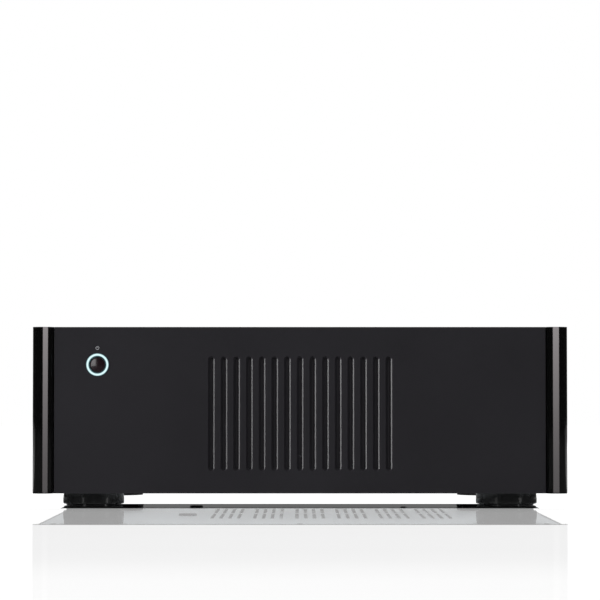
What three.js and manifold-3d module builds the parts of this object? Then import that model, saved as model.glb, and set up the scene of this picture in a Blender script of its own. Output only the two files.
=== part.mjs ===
// Stereo power amplifier in a full-width hi-fi case, standing on four feet.
// Millimetres. +X is to the right seen from the front, +Y to the back and +Z up.
// The origin is on the floor, at the centre of the outline.
import * as THREE from "three";
import { mergeVertices } from "three/addons/utils/BufferGeometryUtils.js";
import Module from "manifold-3d";

const wasm = await Module();
wasm.setup();

// Overall sizes
const caseWidth = 431; // across the two pillars
const caseDepth = 407; // pillar fronts to the tips of the speaker posts
const panelHeight = 134; // faceplate and pillars, a 3U front
const floorGap = 12.5; // floor to the faceplate's lower edge

// Fits shared by all pieces
const seatGap = 0.2; // between pieces that are bolted or seated together
const runGap = 0.3; // round what slides or turns
const cutOver = 1; // how far a cutter runs past what it cuts
const roomGap = 6; // least air between separate assemblies inside

// Rounds, as counts of flat sides
const fineRound = 32;
const midRound = 24;
const fewRound = 16;
const hexSides = 6;

// Front: faceplate between two round-nosed pillars
const faceThickness = 8;
const pillarWidth = 17.3;
const pillarProud = 6; // pillar nose ahead of the faceplate
const noseShare = 0.6; // of the pillar's depth, taken by its rounded nose

// Vertical bevelled grooves in the middle of the faceplate
const grooveCount = 15;
const groovePitch = 10.25;
const grooveHeight = 91;
const grooveMouth = 6.2; // width at the face
const grooveFloor = 2.4; // width of the flat floor
const grooveBevel = 2; // depth of the bevel
const grooveDepth = 2.5; // depth of the floor
const grooveDrop = 3.1; // groove centres below the middle of the panel

// Folded and flat steel of the chassis
const chassisInset = 1; // pillar's outer side to the chassis side
const sheet = 1.5; // subpanel, rear panel and base plate
const coverSheet = 1.2;
const baseLift = 1.5; // base plate above the faceplate's lower edge
const coverDrop = 1.5; // cover below the faceplate's upper edge

// Power button, its lit ring and its switch
const buttonInset = 52.2; // button axis from the pillar's outer side
const buttonDrop = 30.4; // button axis below the panel's upper edge
const ringRadius = 9.2;
const ringWall = 2.5;
const ringProud = 0.4;
const buttonProud = 1.6;
const domeRise = 0.7;
const buttonTravel = 3;
const stopGap = 1; // left behind the button at the end of its travel
const guideLength = 14;
const guideWall = 4;
const guideFlange = 8; // flange width beyond the guide's bore
const flangeThickness = 2.5;
const plungerRadius = 2.5;
const plungerReach = 6; // of the plunger inside the switch
const switchWidth = 20;
const switchLength = 26;

// Indicator lamp in the middle groove
const lampRise = 11.4; // lamp above the groove's lower end
const lampRadius = 0.8;
const lampProud = 0.4; // ahead of the groove's floor
const lampFlange = 0.8;

// Feet
const footInset = 45.2; // foot centre from the chassis side
const frontFootSetback = 34; // foot centre behind the subpanel
const rearFootSetback = 45; // foot centre ahead of the rear panel
const footRadius = 25;
const footTopCut = 0.7; // foot's top narrower than its widest part, at the radius
const neckCut = 3; // neck narrower than the widest part, at the radius
const padCut = 1.2; // rubber pad narrower than the widest part, at the radius
const padHeight = 2.6;
const padBevel = 0.5;
const neckHeight = 1.2;
const padBore = 6.5;
const footBore = 5;
const footBoreDepth = 6;
const bulgeShare = 0.35; // of the foot's body height, where it is widest

// Vents in the base plate and the cover, in groups and in two rows
const ventWidth = 3;
const ventPitch = 7.6;
const ventsInGroup = 4;
const groupCount = 6;
const groupPitch = 36.5;
const ventMiddle = 27; // middle of the vents, right of the middle of the case
const ventRowGap = 14;
const sideVentHeight = 50;
const sideVentField = 110;
const sideVentPitch = 10;
const sideVentLift = 7; // middle of the side vents above the middle of the cover's side

// Mains transformer, a toroid on a rubber pad under a steel dish
const coilSetback = 190; // axis behind the subpanel
const coilRadius = 60;
const coilBore = 19;
const coilHeight = 66;
const coilRound = 12;
const cushionHeight = 3;
const dishRadius = 42;
const dishHeight = 2.5;
const studRadius = 4;
const nutRadius = 7;
const nutHeight = 7;
const studTip = 4; // stud above its nut

// Smoothing capacitors on the supply board
const canRadius = 25;
const canHeight = 85;
const canGap = 5;
const canEdge = 1.5;
const boardThickness = 1.6;
const boardLift = 9; // boards above the base plate
const boardMargin = 8; // board edge beyond what stands on it
const standoffRadius = 3.5;

// Bridge rectifier on the base plate, with four blades on top
const bridgeSide = 28.5;
const bridgeHeight = 10;
const bridgeGap = 30; // rectifier to the supply board
const bladeWidth = 6.3;
const bladeThickness = 0.8;
const bladeHeight = 9;
const bladeInset = 6; // blades from the rectifier's sides

// Heatsinks, one for each channel, fins inwards to a common air duct
const ductWidth = 34; // clear air between the two rows of fin tips
const finLength = 48;
const finThickness = 2.2;
const finPitch = 10.5;
const sinkBase = 7;
const sinkClear = 12; // heatsink top below the cover
const bossRadius = 3;
const bossLength = 8;
const bossInset = 14; // boss from the heatsink's ends
const chipWidth = 16;
const chipHeight = 20;
const chipThickness = 5;

// Speaker terminals
const postReach = 31; // post tips behind the rear panel
const postSpacing = 26; // between the two posts of a channel
const channelSpacing = 80; // between the middles of the two pairs
const terminalRise = 38; // post axes above the base plate's underside
const plateThickness = 3;
const plateMargin = 14; // terminal plate beyond the outer posts
const postRadius = 4;
const postTip = 1.5; // post beyond its knob
const socketRadius = 2.05; // banana socket in the post's end
const socketDepth = 18;
const wireHole = 1.6; // radius of the cross hole for bare wire
const collarRadius = 8.2;
const collarHeight = 4;
const washerThickness = 1.5;
const knobRadius = 8.7;
const fluteCount = 16;
const fluteDepth = 0.7;
const crestShare = 0.55; // of each flute's turn, taken by its crest
const shankRadius = 3;
const shankNut = 6;
const shankNutHeight = 4;
const shankTail = 8; // solder tail inside

// Inputs and control sockets on the rear panel
const inputDepth = 22; // rear panel to the input board
const inputInset = 44; // balanced sockets from the chassis side
const inputSpacing = 36; // between the two rows of inputs
const inputLift = 2.5; // middle of the inputs above the middle of the rear panel
const flangeWidth = 26; // balanced socket's flange
const flangeTall = 31;
const flangePlate = 1.8;
const socketShell = 11.6; // radius of the balanced socket's body
const plugRing = 1.7; // width of the ring-shaped slot that takes the plug's shell
const plugRingDepth = 9;
const insertRadius = 7.8;
const pinHole = 1.3;
const pinCircle = 4.5;
const pinDepth = 12;
const phonoGap = 38; // phono jacks from the balanced sockets
const phonoRadius = 4.15;
const phonoCore = 1.6;
const phonoFlange = 6;
const phonoNeck = 3.2;
const phonoReach = 10;
const phonoPlate = 1.5;
const phonoDepth = 7;
const controlDrop = 27; // slide switch and trigger sockets below the cover's top
const triggerOffset = 30; // trigger sockets from the middle
const triggerSpacing = 14;
const triggerRadius = 4;
const triggerBore = 1.8;
const triggerReach = 2;
const triggerHeight = 12;
const selectorOffset = 30; // slide switch from the middle
const sliderTravel = 4;
const sliderWidth = 6;
const sliderHeight = 4;
const sliderProud = 2.5;
const sliderBase = 2.5; // wider foot of the slider inside its housing
const sliderLip = 1.5;
const selectorWall = 2.5;
const selectorDepth = 8;

// Mains inlet
const inletInset = 52; // inlet axis from the chassis side
const inletWidth = 24.4; // of the plug's cavity
const inletHeight = 16.6;
const inletDepth = 18;
const inletWall = 2;
const inletEar = 11; // each ear beyond the body
const inletPlate = 2.2;
const inletCorner = 4; // bevel of the cavity's two upper corners
const pinLength = 12;
const pinThickness = 2;
const pinBlade = 4;
const pinSpacing = 7; // outer pins from the middle one
const pinStep = 2; // middle pin above the axis, outer pins below it

// Levels along Y, front to back
const faceFront = -caseDepth / 2 + pillarProud;
const faceBack = faceFront + faceThickness;
const subFront = faceBack + seatGap;
const subBack = subFront + sheet;
const rearFace = caseDepth / 2 - postReach;
const rearInner = rearFace - sheet;
const caseFront = subBack + seatGap;
const caseBack = rearInner - seatGap;
const boardFront = rearInner - inputDepth - boardThickness;

// Levels along Z
const panelTop = floorGap + panelHeight;
const baseBottom = floorGap + baseLift;
const baseTop = baseBottom + sheet;
const coverTop = panelTop - coverDrop;
const sinkTop = coverTop - sinkClear;

// Widths and places that follow
const faceWidth = caseWidth - 2 * pillarWidth - 2 * seatGap;
const chassisWidth = caseWidth - 2 * chassisInset;
const baseWidth = chassisWidth - 2 * coverSheet - 2 * seatGap;
const grooveMiddle = floorGap + panelHeight / 2 - grooveDrop;
const lampHeight = grooveMiddle - grooveHeight / 2 + lampRise;
const buttonX = -caseWidth / 2 + buttonInset;
const buttonZ = panelTop - buttonDrop;
const ringBore = ringRadius - ringWall;
const buttonRadius = ringBore - runGap;
const ventField = (groupCount - 1) * groupPitch + (ventsInGroup - 1) * ventPitch + ventWidth;
const supplySpan = 4 * canRadius + canGap + 2 * boardMargin;
const supplyBottom = baseTop + boardLift;
const supplyY = caseFront + sheet + roomGap + supplySpan / 2;
const sinkFront = supplyY + supplySpan / 2 + roomGap;
const sinkBack = boardFront - roomGap;
const sinkLength = sinkBack - sinkFront;
const finTip = ductWidth / 2;
const sinkFace = finTip + finLength + sinkBase;
const channelReach = sinkFace + bossLength + seatGap + boardThickness;
const ductX = ventMiddle + ventField / 2 - channelReach;
const coilX = ductX - channelReach - roomGap - coilRadius;
const coilY = subBack + coilSetback;
const footX = chassisWidth / 2 - footInset;
const inputX = -chassisWidth / 2 + inputInset;
const inletX = chassisWidth / 2 - inletInset;

const paint = (color, roughness, metalness) =>
  new THREE.MeshStandardMaterial({ color, roughness, metalness, flatShading: true });

const finish = {
  anodised: paint(0x262628, 0.45, 0.8),
  pillar: paint(0x08080a, 0.16, 0.6),
  steel: paint(0x1a1a1c, 0.55, 0.5),
  plastic: paint(0x121213, 0.6, 0),
  rubber: paint(0x0c0c0c, 0.9, 0),
  gloss: paint(0x1b1a1d, 0.2, 0.4),
  light: paint(0xdffcff, 0.3, 0),
  lamp: paint(0x6a6a70, 0.2, 0),
  winding: paint(0x2a2320, 0.6, 0),
  zinc: paint(0xa8abb0, 0.4, 0.9),
  can: paint(0x15181f, 0.35, 0),
  board: paint(0x16402a, 0.5, 0),
  aluminium: paint(0x9b9da1, 0.45, 0.9),
  gold: paint(0xc9a04a, 0.25, 1),
  redKnob: paint(0x8f1016, 0.3, 0),
  blackKnob: paint(0x101012, 0.3, 0),
};

// Basic shapes

function block(x0, x1, y0, y1, z0, z1) {
  const geometry = new THREE.BoxGeometry(x1 - x0, y1 - y0, z1 - z0);
  return geometry.translate((x0 + x1) / 2, (y0 + y1) / 2, (z0 + z1) / 2);
}

// A block centred on X and Z, from y0 back to y1.
function slab(width, height, y0, y1) {
  return block(-width / 2, width / 2, y0, y1, -height / 2, height / 2);
}

// A block along Y whose front face and back face differ in size.
function taperedSlab(frontWidth, frontHeight, y0, backWidth, backHeight, y1) {
  const geometry = new THREE.BoxGeometry(1, 1, 1);
  const corners = geometry.getAttribute("position");
  for (let i = 0; i < corners.count; i++) {
    const front = corners.getY(i) < 0;
    const width = front ? frontWidth : backWidth;
    const height = front ? frontHeight : backHeight;
    corners.setXYZ(i, corners.getX(i) * width, front ? y0 : y1, corners.getZ(i) * height);
  }
  return geometry;
}

// A round bar along Y.
function bar(radius, y0, y1, sides) {
  const geometry = new THREE.CylinderGeometry(radius, radius, y1 - y0, sides);
  return geometry.translate(0, (y0 + y1) / 2, 0);
}

// A turned piece about Y. Each point is [radius, place along the axis].
function turned(profile, sides) {
  const points = profile.map(([radius, along]) => new THREE.Vector2(radius, along));
  return new THREE.LatheGeometry(points, sides);
}

// The same about Z, standing up.
const turnedUpright = (profile, sides) => turned(profile, sides).rotateX(Math.PI / 2);

// A round bar standing up.
const post = (radius, z0, z1, sides) => bar(radius, z0, z1, sides).rotateX(Math.PI / 2);

// A tube's closed profile, from one end to the other.
const ringProfile = (inner, outer, low, high) => [
  [inner, low],
  [outer, low],
  [outer, high],
  [inner, high],
  [inner, low],
];

// Cutting and joining

function solidOf(geometry) {
  const bare = new THREE.BufferGeometry();
  bare.setAttribute("position", geometry.getAttribute("position"));
  bare.setIndex(geometry.index);
  const merged = mergeVertices(bare);
  return new wasm.Manifold(
    new wasm.Mesh({
      numProp: 3,
      vertProperties: merged.attributes.position.array,
      triVerts: new Uint32Array(merged.index.array),
    }),
  );
}

function geometryOf(solid) {
  const mesh = solid.getMesh();
  const geometry = new THREE.BufferGeometry();
  geometry.setAttribute("position", new THREE.BufferAttribute(mesh.vertProperties, 3));
  return geometry.setIndex(new THREE.BufferAttribute(mesh.triVerts, 1));
}

const joined = (geometries) =>
  geometryOf(geometries.map(solidOf).reduce((whole, next) => whole.add(next)));

const cut = (geometry, cutters) =>
  geometryOf(cutters.map(solidOf).reduce((rest, next) => rest.subtract(next), solidOf(geometry)));

// The scene graph

const amplifier = new THREE.Group();

function assembly(x, y, z, parent = amplifier) {
  const group = new THREE.Group();
  group.position.set(x, y, z);
  parent.add(group);
  return group;
}

function place(name, geometry, material, parent = amplifier) {
  const mesh = new THREE.Mesh(geometry, material);
  mesh.name = name;
  parent.add(mesh);
  return mesh;
}

// Front

function makeFaceplate() {
  const plate = block(-faceWidth / 2, faceWidth / 2, faceFront, faceBack, floorGap, panelTop);
  const floorHeight = grooveHeight - (grooveMouth - grooveFloor);
  const spread = ((grooveMouth - grooveFloor) / grooveBevel) * cutOver;
  const cutters = [];
  for (let i = 0; i < grooveCount; i++) {
    const x = (i - (grooveCount - 1) / 2) * groovePitch;
    const mouth = taperedSlab(
      grooveMouth + spread,
      grooveHeight + spread,
      faceFront - cutOver,
      grooveFloor,
      floorHeight,
      faceFront + grooveBevel,
    );
    const floor = slab(grooveFloor, floorHeight, faceFront, faceFront + grooveDepth);
    cutters.push(mouth.translate(x, 0, grooveMiddle), floor.translate(x, 0, grooveMiddle));
  }
  const through = [faceFront - cutOver, faceBack + cutOver];
  const bore = bar(ringRadius + seatGap, ...through, fineRound);
  const lampHole = bar(lampRadius + seatGap, ...through, fewRound);
  cutters.push(bore.translate(buttonX, 0, buttonZ), lampHole.translate(0, 0, lampHeight));
  place("faceplate", cut(plate, cutters), finish.anodised);
}

function makePillars() {
  const depth = pillarProud + faceThickness;
  const nose = depth * noseShare;
  const half = pillarWidth / 2;
  const outline = new THREE.Shape();
  outline.moveTo(half, nose);
  outline.lineTo(half, depth);
  outline.lineTo(-half, depth);
  outline.lineTo(-half, nose);
  outline.absellipse(0, nose, half, nose, Math.PI, 2 * Math.PI, false);
  for (const [side, sign] of [["left", -1], ["right", 1]]) {
    const geometry = new THREE.ExtrudeGeometry(outline, {
      depth: panelHeight,
      bevelEnabled: false,
      curveSegments: fewRound,
    });
    const stand = assembly(sign * (caseWidth / 2 - half), -caseDepth / 2, floorGap);
    place("pillar_" + side, geometry, finish.pillar, stand);
  }
}

function makeSubpanel() {
  const plate = block(-chassisWidth / 2, chassisWidth / 2, subFront, subBack, baseBottom, coverTop);
  const through = [subFront - cutOver, subBack + cutOver];
  const buttonHole = bar(buttonRadius + 2 * runGap, ...through, midRound);
  const lampHole = bar(lampRadius + seatGap, ...through, fewRound);
  const cutters = [
    buttonHole.translate(buttonX, 0, buttonZ),
    lampHole.translate(0, 0, lampHeight),
  ];
  place("front_subpanel", cut(plate, cutters), finish.steel);
}

// A light pipe with a domed tip, held by its flange behind the subpanel.
function makeLamp() {
  const front = faceFront + grooveDepth - lampProud;
  const seat = subBack + seatGap;
  const profile = [
    [0, front],
    [lampRadius * Math.SQRT1_2, front + lampRadius * (1 - Math.SQRT1_2)],
    [lampRadius, front + lampRadius],
    [lampRadius, seat],
    [lampRadius + lampFlange, seat],
    [lampRadius + lampFlange, seat + lampFlange],
    [0, seat + lampFlange],
  ];
  const holder = assembly(0, 0, lampHeight);
  place("indicator_lamp", turned(profile, fewRound), finish.lamp, holder);
}

// Button, ring, guide and switch share one axis. Y runs as in the case.
function makeButton() {
  const axis = assembly(buttonX, 0, buttonZ);
  const ringFront = faceFront - ringProud;
  const ring = turned(ringProfile(ringBore, ringRadius, ringFront, faceBack), fineRound);
  place("button_ring", ring, finish.light, axis);

  const guideFront = subBack + seatGap;
  const guideBack = guideFront + guideLength;
  const guideProfile = [
    [ringBore, guideFront],
    [ringBore + guideFlange, guideFront],
    [ringBore + guideFlange, guideFront + flangeThickness],
    [ringBore + guideWall, guideFront + flangeThickness],
    [ringBore + guideWall, guideBack],
    [ringBore, guideBack],
    [ringBore, guideFront],
  ];
  place("button_guide", turned(guideProfile, midRound), finish.plastic, axis);

  const capFront = faceFront - buttonProud;
  const capBack = guideBack - buttonTravel - stopGap;
  const switchFront = guideBack + seatGap;
  const plungerBack = switchFront + plungerReach;
  const capProfile = [
    [0, capFront],
    [buttonRadius / 2, capFront + domeRise / 4],
    [buttonRadius - domeRise, capFront + domeRise],
    [buttonRadius, capFront + 2 * domeRise],
    [buttonRadius, capBack],
    [plungerRadius, capBack],
    [plungerRadius, plungerBack],
    [0, plungerBack],
  ];
  place("power_button", turned(capProfile, midRound), finish.gloss, axis);

  const switchBody = slab(switchWidth, switchWidth, switchFront, switchFront + switchLength);
  const wellDepth = plungerReach + buttonTravel + stopGap;
  const well = bar(plungerRadius + runGap, switchFront - cutOver, switchFront + wellDepth, fewRound);
  place("power_switch", cut(switchBody, [well]), finish.plastic, axis);
}

// Chassis

// Vent slots that run along Y, in two rows over the heatsinks, cut between z0 and z1.
function ventCutters(z0, z1) {
  const rowLength = (sinkLength - ventRowGap) / 2;
  const cutters = [];
  for (const rowFront of [sinkFront, sinkFront + rowLength + ventRowGap]) {
    for (let group = 0; group < groupCount; group++) {
      for (let i = 0; i < ventsInGroup; i++) {
        const edge = ventMiddle - ventField / 2 + group * groupPitch + i * ventPitch;
        cutters.push(block(edge, edge + ventWidth, rowFront, rowFront + rowLength, z0, z1));
      }
    }
  }
  return cutters;
}

function makeBasePlate() {
  const half = baseWidth / 2;
  const plain = block(-half, half, caseFront, caseBack, baseBottom, baseTop);
  const vented = cut(plain, ventCutters(baseBottom - cutOver, baseTop + cutOver));
  const standoffs = supplyCorners().map(([x, y]) => {
    const stand = post(standoffRadius, baseTop - sheet / 2, supplyBottom - seatGap, fewRound / 2);
    return stand.translate(x, y, 0);
  });
  place("base_plate", joined([vented, ...standoffs]), finish.steel);
}

function makeCover() {
  const half = chassisWidth / 2;
  const outer = block(-half, half, caseFront, caseBack, baseBottom, coverTop);
  const inner = block(
    -half + coverSheet,
    half - coverSheet,
    caseFront - cutOver,
    caseBack + cutOver,
    baseBottom - cutOver,
    coverTop - coverSheet,
  );
  const sideCutters = [];
  const count = Math.floor((sideVentField - ventWidth) / sideVentPitch) + 1;
  const middle = (sinkFront + sinkBack) / 2;
  const sideMiddle = (baseBottom + coverTop) / 2 + sideVentLift;
  for (const sign of [-1, 1]) {
    for (let i = 0; i < count; i++) {
      const hole = block(
        -coverSheet - cutOver,
        coverSheet + cutOver,
        -ventWidth / 2,
        ventWidth / 2,
        -sideVentHeight / 2,
        sideVentHeight / 2,
      );
      const y = middle + (i - (count - 1) / 2) * sideVentPitch;
      sideCutters.push(hole.translate(sign * half, y, sideMiddle));
    }
  }
  const cutters = [inner, ...ventCutters(coverTop - coverSheet - cutOver, coverTop + cutOver)];
  place("top_cover", cut(outer, [...cutters, ...sideCutters]), finish.steel);
}

function makeRearPanel() {
  const plate = block(-chassisWidth / 2, chassisWidth / 2, rearInner, rearFace, baseBottom, coverTop);
  const through = [rearInner - cutOver, rearFace + cutOver];
  const cutters = [];
  for (const { x } of terminals()) {
    cutters.push(bar(shankRadius + runGap, ...through, fewRound).translate(x, 0, terminalZ()));
  }
  for (const z of inputHeights()) {
    cutters.push(bar(socketShell + seatGap, ...through, midRound).translate(inputX, 0, z));
    cutters.push(bar(phonoNeck + seatGap, ...through, fewRound).translate(inputX + phonoGap, 0, z));
  }
  for (const x of triggerXs()) {
    cutters.push(bar(triggerRadius + seatGap, ...through, fewRound).translate(x, 0, controlZ()));
  }
  const windowWidth = sliderWidth + sliderTravel + 2 * runGap;
  const selectorWindow = slab(windowWidth, sliderHeight + 2 * runGap, ...through);
  cutters.push(selectorWindow.translate(-selectorOffset, 0, controlZ()));
  const bodyWidth = inletWidth + 2 * inletWall + 2 * seatGap;
  const bodyHeight = inletHeight + 2 * inletWall + 2 * seatGap;
  cutters.push(slab(bodyWidth, bodyHeight, ...through).translate(inletX, 0, terminalZ()));
  place("rear_panel", cut(plate, cutters), finish.steel);
}

// Feet

function makeFeet() {
  const top = baseBottom - seatGap;
  const neckBottom = padHeight + seatGap;
  const bodyBottom = neckBottom + neckHeight;
  const bulge = bodyBottom + (top - bodyBottom) * bulgeShare;
  const footProfile = [
    [0, neckBottom + footBoreDepth],
    [footBore, neckBottom + footBoreDepth],
    [footBore, neckBottom],
    [footRadius - neckCut, neckBottom],
    [footRadius - neckCut, bodyBottom],
    [footRadius - padCut, bodyBottom],
    [footRadius, bulge],
    [footRadius - footTopCut, top],
    [0, top],
  ];
  const padRadius = footRadius - padCut;
  const padProfile = [
    [padBore, 0],
    [padRadius - padBevel, 0],
    [padRadius, padBevel],
    [padRadius, padHeight],
    [padBore, padHeight],
    [padBore, 0],
  ];
  const rows = [["front", caseFront + frontFootSetback], ["rear", caseBack - rearFootSetback]];
  for (const [row, y] of rows) {
    for (const [side, x] of [["left", -footX], ["right", footX]]) {
      const spot = assembly(x, y, 0);
      place(`foot_${row}_${side}`, turnedUpright(footProfile, midRound), finish.plastic, spot);
      place(`foot_pad_${row}_${side}`, turnedUpright(padProfile, midRound), finish.rubber, spot);
    }
  }
}

// Power supply

function makeTransformer() {
  const axis = assembly(coilX, coilY, baseTop);
  const cushion = turnedUpright(
    ringProfile(coilBore, coilRadius - coilRound, seatGap, seatGap + cushionHeight),
    midRound,
  );
  place("transformer_cushion", cushion, finish.rubber, axis);

  const low = 2 * seatGap + cushionHeight;
  const high = low + coilHeight;
  const profile = [];
  const corners = [
    [coilRadius, low, -Math.PI / 2],
    [coilRadius, high, 0],
    [coilBore, high, Math.PI / 2],
    [coilBore, low, Math.PI],
  ];
  for (const [radius, level, start] of corners) {
    const across = radius === coilRadius ? radius - coilRound : radius + coilRound;
    const along = level === low ? level + coilRound : level - coilRound;
    for (let step = 0; step <= 2; step++) {
      const angle = start + (step * Math.PI) / 4;
      profile.push([across + coilRound * Math.cos(angle), along + coilRound * Math.sin(angle)]);
    }
  }
  profile.push(profile[0]);
  place("transformer_coil", turnedUpright(profile, midRound), finish.winding, axis);

  const dishLow = high + seatGap;
  const dishHigh = dishLow + dishHeight;
  const dish = turnedUpright(
    ringProfile(studRadius + runGap, dishRadius, dishLow, dishHigh),
    midRound,
  );
  place("transformer_dish", dish, finish.zinc, axis);

  const nutLow = dishHigh + seatGap;
  const nutHigh = nutLow + nutHeight;
  const stud = post(studRadius, seatGap, nutHigh + studTip, fewRound / 2);
  const nut = post(nutRadius, nutLow, nutHigh, hexSides);
  place("transformer_stud", joined([stud, nut]), finish.zinc, axis);
}

function makeBridge() {
  const half = bridgeSide / 2;
  const top = seatGap + bridgeHeight;
  const body = block(-half, half, -half, half, seatGap, top);
  const blades = [];
  for (const x of [-half + bladeInset, half - bladeInset]) {
    for (const y of [-half + bladeInset, half - bladeInset]) {
      const blade = new THREE.BoxGeometry(bladeWidth, bladeThickness, 2 * bladeHeight);
      blades.push(blade.translate(x, y, top));
    }
  }
  const x = ductX - supplySpan / 2 - bridgeGap - half;
  place("bridge_rectifier", joined([body, ...blades]), finish.zinc, assembly(x, supplyY, baseTop));
}

function supplyCorners() {
  const reach = supplySpan / 2 - standoffRadius;
  return [
    [ductX - reach, supplyY - reach],
    [ductX + reach, supplyY - reach],
    [ductX - reach, supplyY + reach],
    [ductX + reach, supplyY + reach],
  ];
}

function makeSupply() {
  const half = supplySpan / 2;
  const seat = assembly(ductX, supplyY, supplyBottom);
  place("supply_board", block(-half, half, -half, half, 0, boardThickness), finish.board, seat);
  const low = boardThickness + seatGap;
  const high = low + canHeight;
  const canProfile = [
    [0, low],
    [canRadius - canEdge, low],
    [canRadius, low + canEdge],
    [canRadius, high - canEdge],
    [canRadius - canEdge, high],
    [0, high],
  ];
  const reach = canRadius + canGap / 2;
  let number = 1;
  for (const dy of [-reach, reach]) {
    for (const dx of [-reach, reach]) {
      const spot = assembly(dx, dy, 0, seat);
      place("capacitor_" + number, turnedUpright(canProfile, midRound), finish.can, spot);
      number += 1;
    }
  }
}

// Amplifier channels

// The comb outline of a heatsink, fins towards the middle of the case.
function sinkOutline(sign) {
  const points = [
    [sinkFace, sinkFront],
    [sinkFace, sinkBack],
    [sinkFace - sinkBase, sinkBack],
  ];
  const count = Math.floor((sinkLength - finThickness) / finPitch) + 1;
  for (let i = 0; i < count; i++) {
    const back = sinkBack - i * finPitch;
    if (i > 0) points.push([sinkFace - sinkBase, back]);
    points.push([finTip, back], [finTip, back - finThickness]);
    points.push([sinkFace - sinkBase, back - finThickness]);
  }
  const lastFront = sinkBack - (count - 1) * finPitch - finThickness;
  if (lastFront > sinkFront) points.push([sinkFace - sinkBase, sinkFront]);
  const placed = points.map(([x, y]) => new THREE.Vector2(sign * x, y));
  return new THREE.Shape(placed);
}

function makeChannel(side, sign) {
  const low = baseTop + seatGap;
  const height = sinkTop - low;
  const comb = new THREE.ExtrudeGeometry(sinkOutline(sign), { depth: height, bevelEnabled: false });
  const ys = [sinkFront + bossInset, sinkBack - bossInset];
  const zs = [low + bossInset, sinkTop - bossInset];
  const bosses = [];
  for (const y of ys) {
    for (const z of zs) {
      const pin = post(bossRadius, -sinkBase / 2, bossLength, fewRound / 2);
      pin.rotateY((sign * Math.PI) / 2);
      bosses.push(pin.translate(sign * sinkFace, y, z));
    }
  }
  const body = joined([comb.translate(0, 0, low), ...bosses]);
  const duct = assembly(ductX, 0, 0);
  place("heatsink_" + side, body, finish.aluminium, duct);

  const boardFace = sinkFace + bossLength + seatGap;
  const edges = [sign * boardFace, sign * (boardFace + boardThickness)].sort((a, b) => a - b);
  const board = block(...edges, sinkFront, sinkBack, low + bossInset / 2, sinkTop - bossInset / 2);
  place("amp_board_" + side, board, finish.board, duct);

  const chipFaces = [sinkFace + seatGap, sinkFace + seatGap + chipThickness];
  const chipEdges = chipFaces.map((x) => sign * x).sort((a, b) => a - b);
  const middleZ = (low + sinkTop) / 2;
  const chipYs = [sinkFront + sinkLength / 3, sinkBack - sinkLength / 3];
  chipYs.forEach((y, index) => {
    const chip = block(
      ...chipEdges,
      y - chipWidth / 2,
      y + chipWidth / 2,
      middleZ - chipHeight / 2,
      middleZ + chipHeight / 2,
    );
    place(`output_transistor_${side}_${index + 1}`, chip, finish.plastic, duct);
  });
}

// Rear panel fittings

function terminalZ() {
  return baseBottom + terminalRise;
}

function controlZ() {
  return coverTop - controlDrop;
}

function inputHeights() {
  const middle = (baseBottom + coverTop) / 2 + inputLift;
  return [middle + inputSpacing / 2, middle - inputSpacing / 2];
}

function triggerXs() {
  return [triggerOffset - triggerSpacing / 2, triggerOffset + triggerSpacing / 2];
}

function terminals() {
  const inner = (channelSpacing - postSpacing) / 2;
  const outer = (channelSpacing + postSpacing) / 2;
  return [
    { name: "right_minus", x: outer, material: finish.blackKnob },
    { name: "right_plus", x: inner, material: finish.redKnob },
    { name: "left_plus", x: -inner, material: finish.redKnob },
    { name: "left_minus", x: -outer, material: finish.blackKnob },
  ];
}

function knobOutline() {
  const outline = [];
  for (let i = 0; i < fluteCount; i++) {
    const start = (i * 2 * Math.PI) / fluteCount;
    const crest = start + (crestShare * 2 * Math.PI) / fluteCount;
    const valley = (crest + start + (2 * Math.PI) / fluteCount) / 2;
    for (const [angle, radius] of [
      [start, knobRadius],
      [crest, knobRadius],
      [valley, knobRadius - fluteDepth],
    ]) {
      outline.push(new THREE.Vector2(radius * Math.cos(angle), radius * Math.sin(angle)));
    }
  }
  const shape = new THREE.Shape(outline);
  const bore = new THREE.Path();
  bore.absarc(0, 0, postRadius + runGap, 0, 2 * Math.PI, true);
  shape.holes.push(bore);
  return shape;
}

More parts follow.
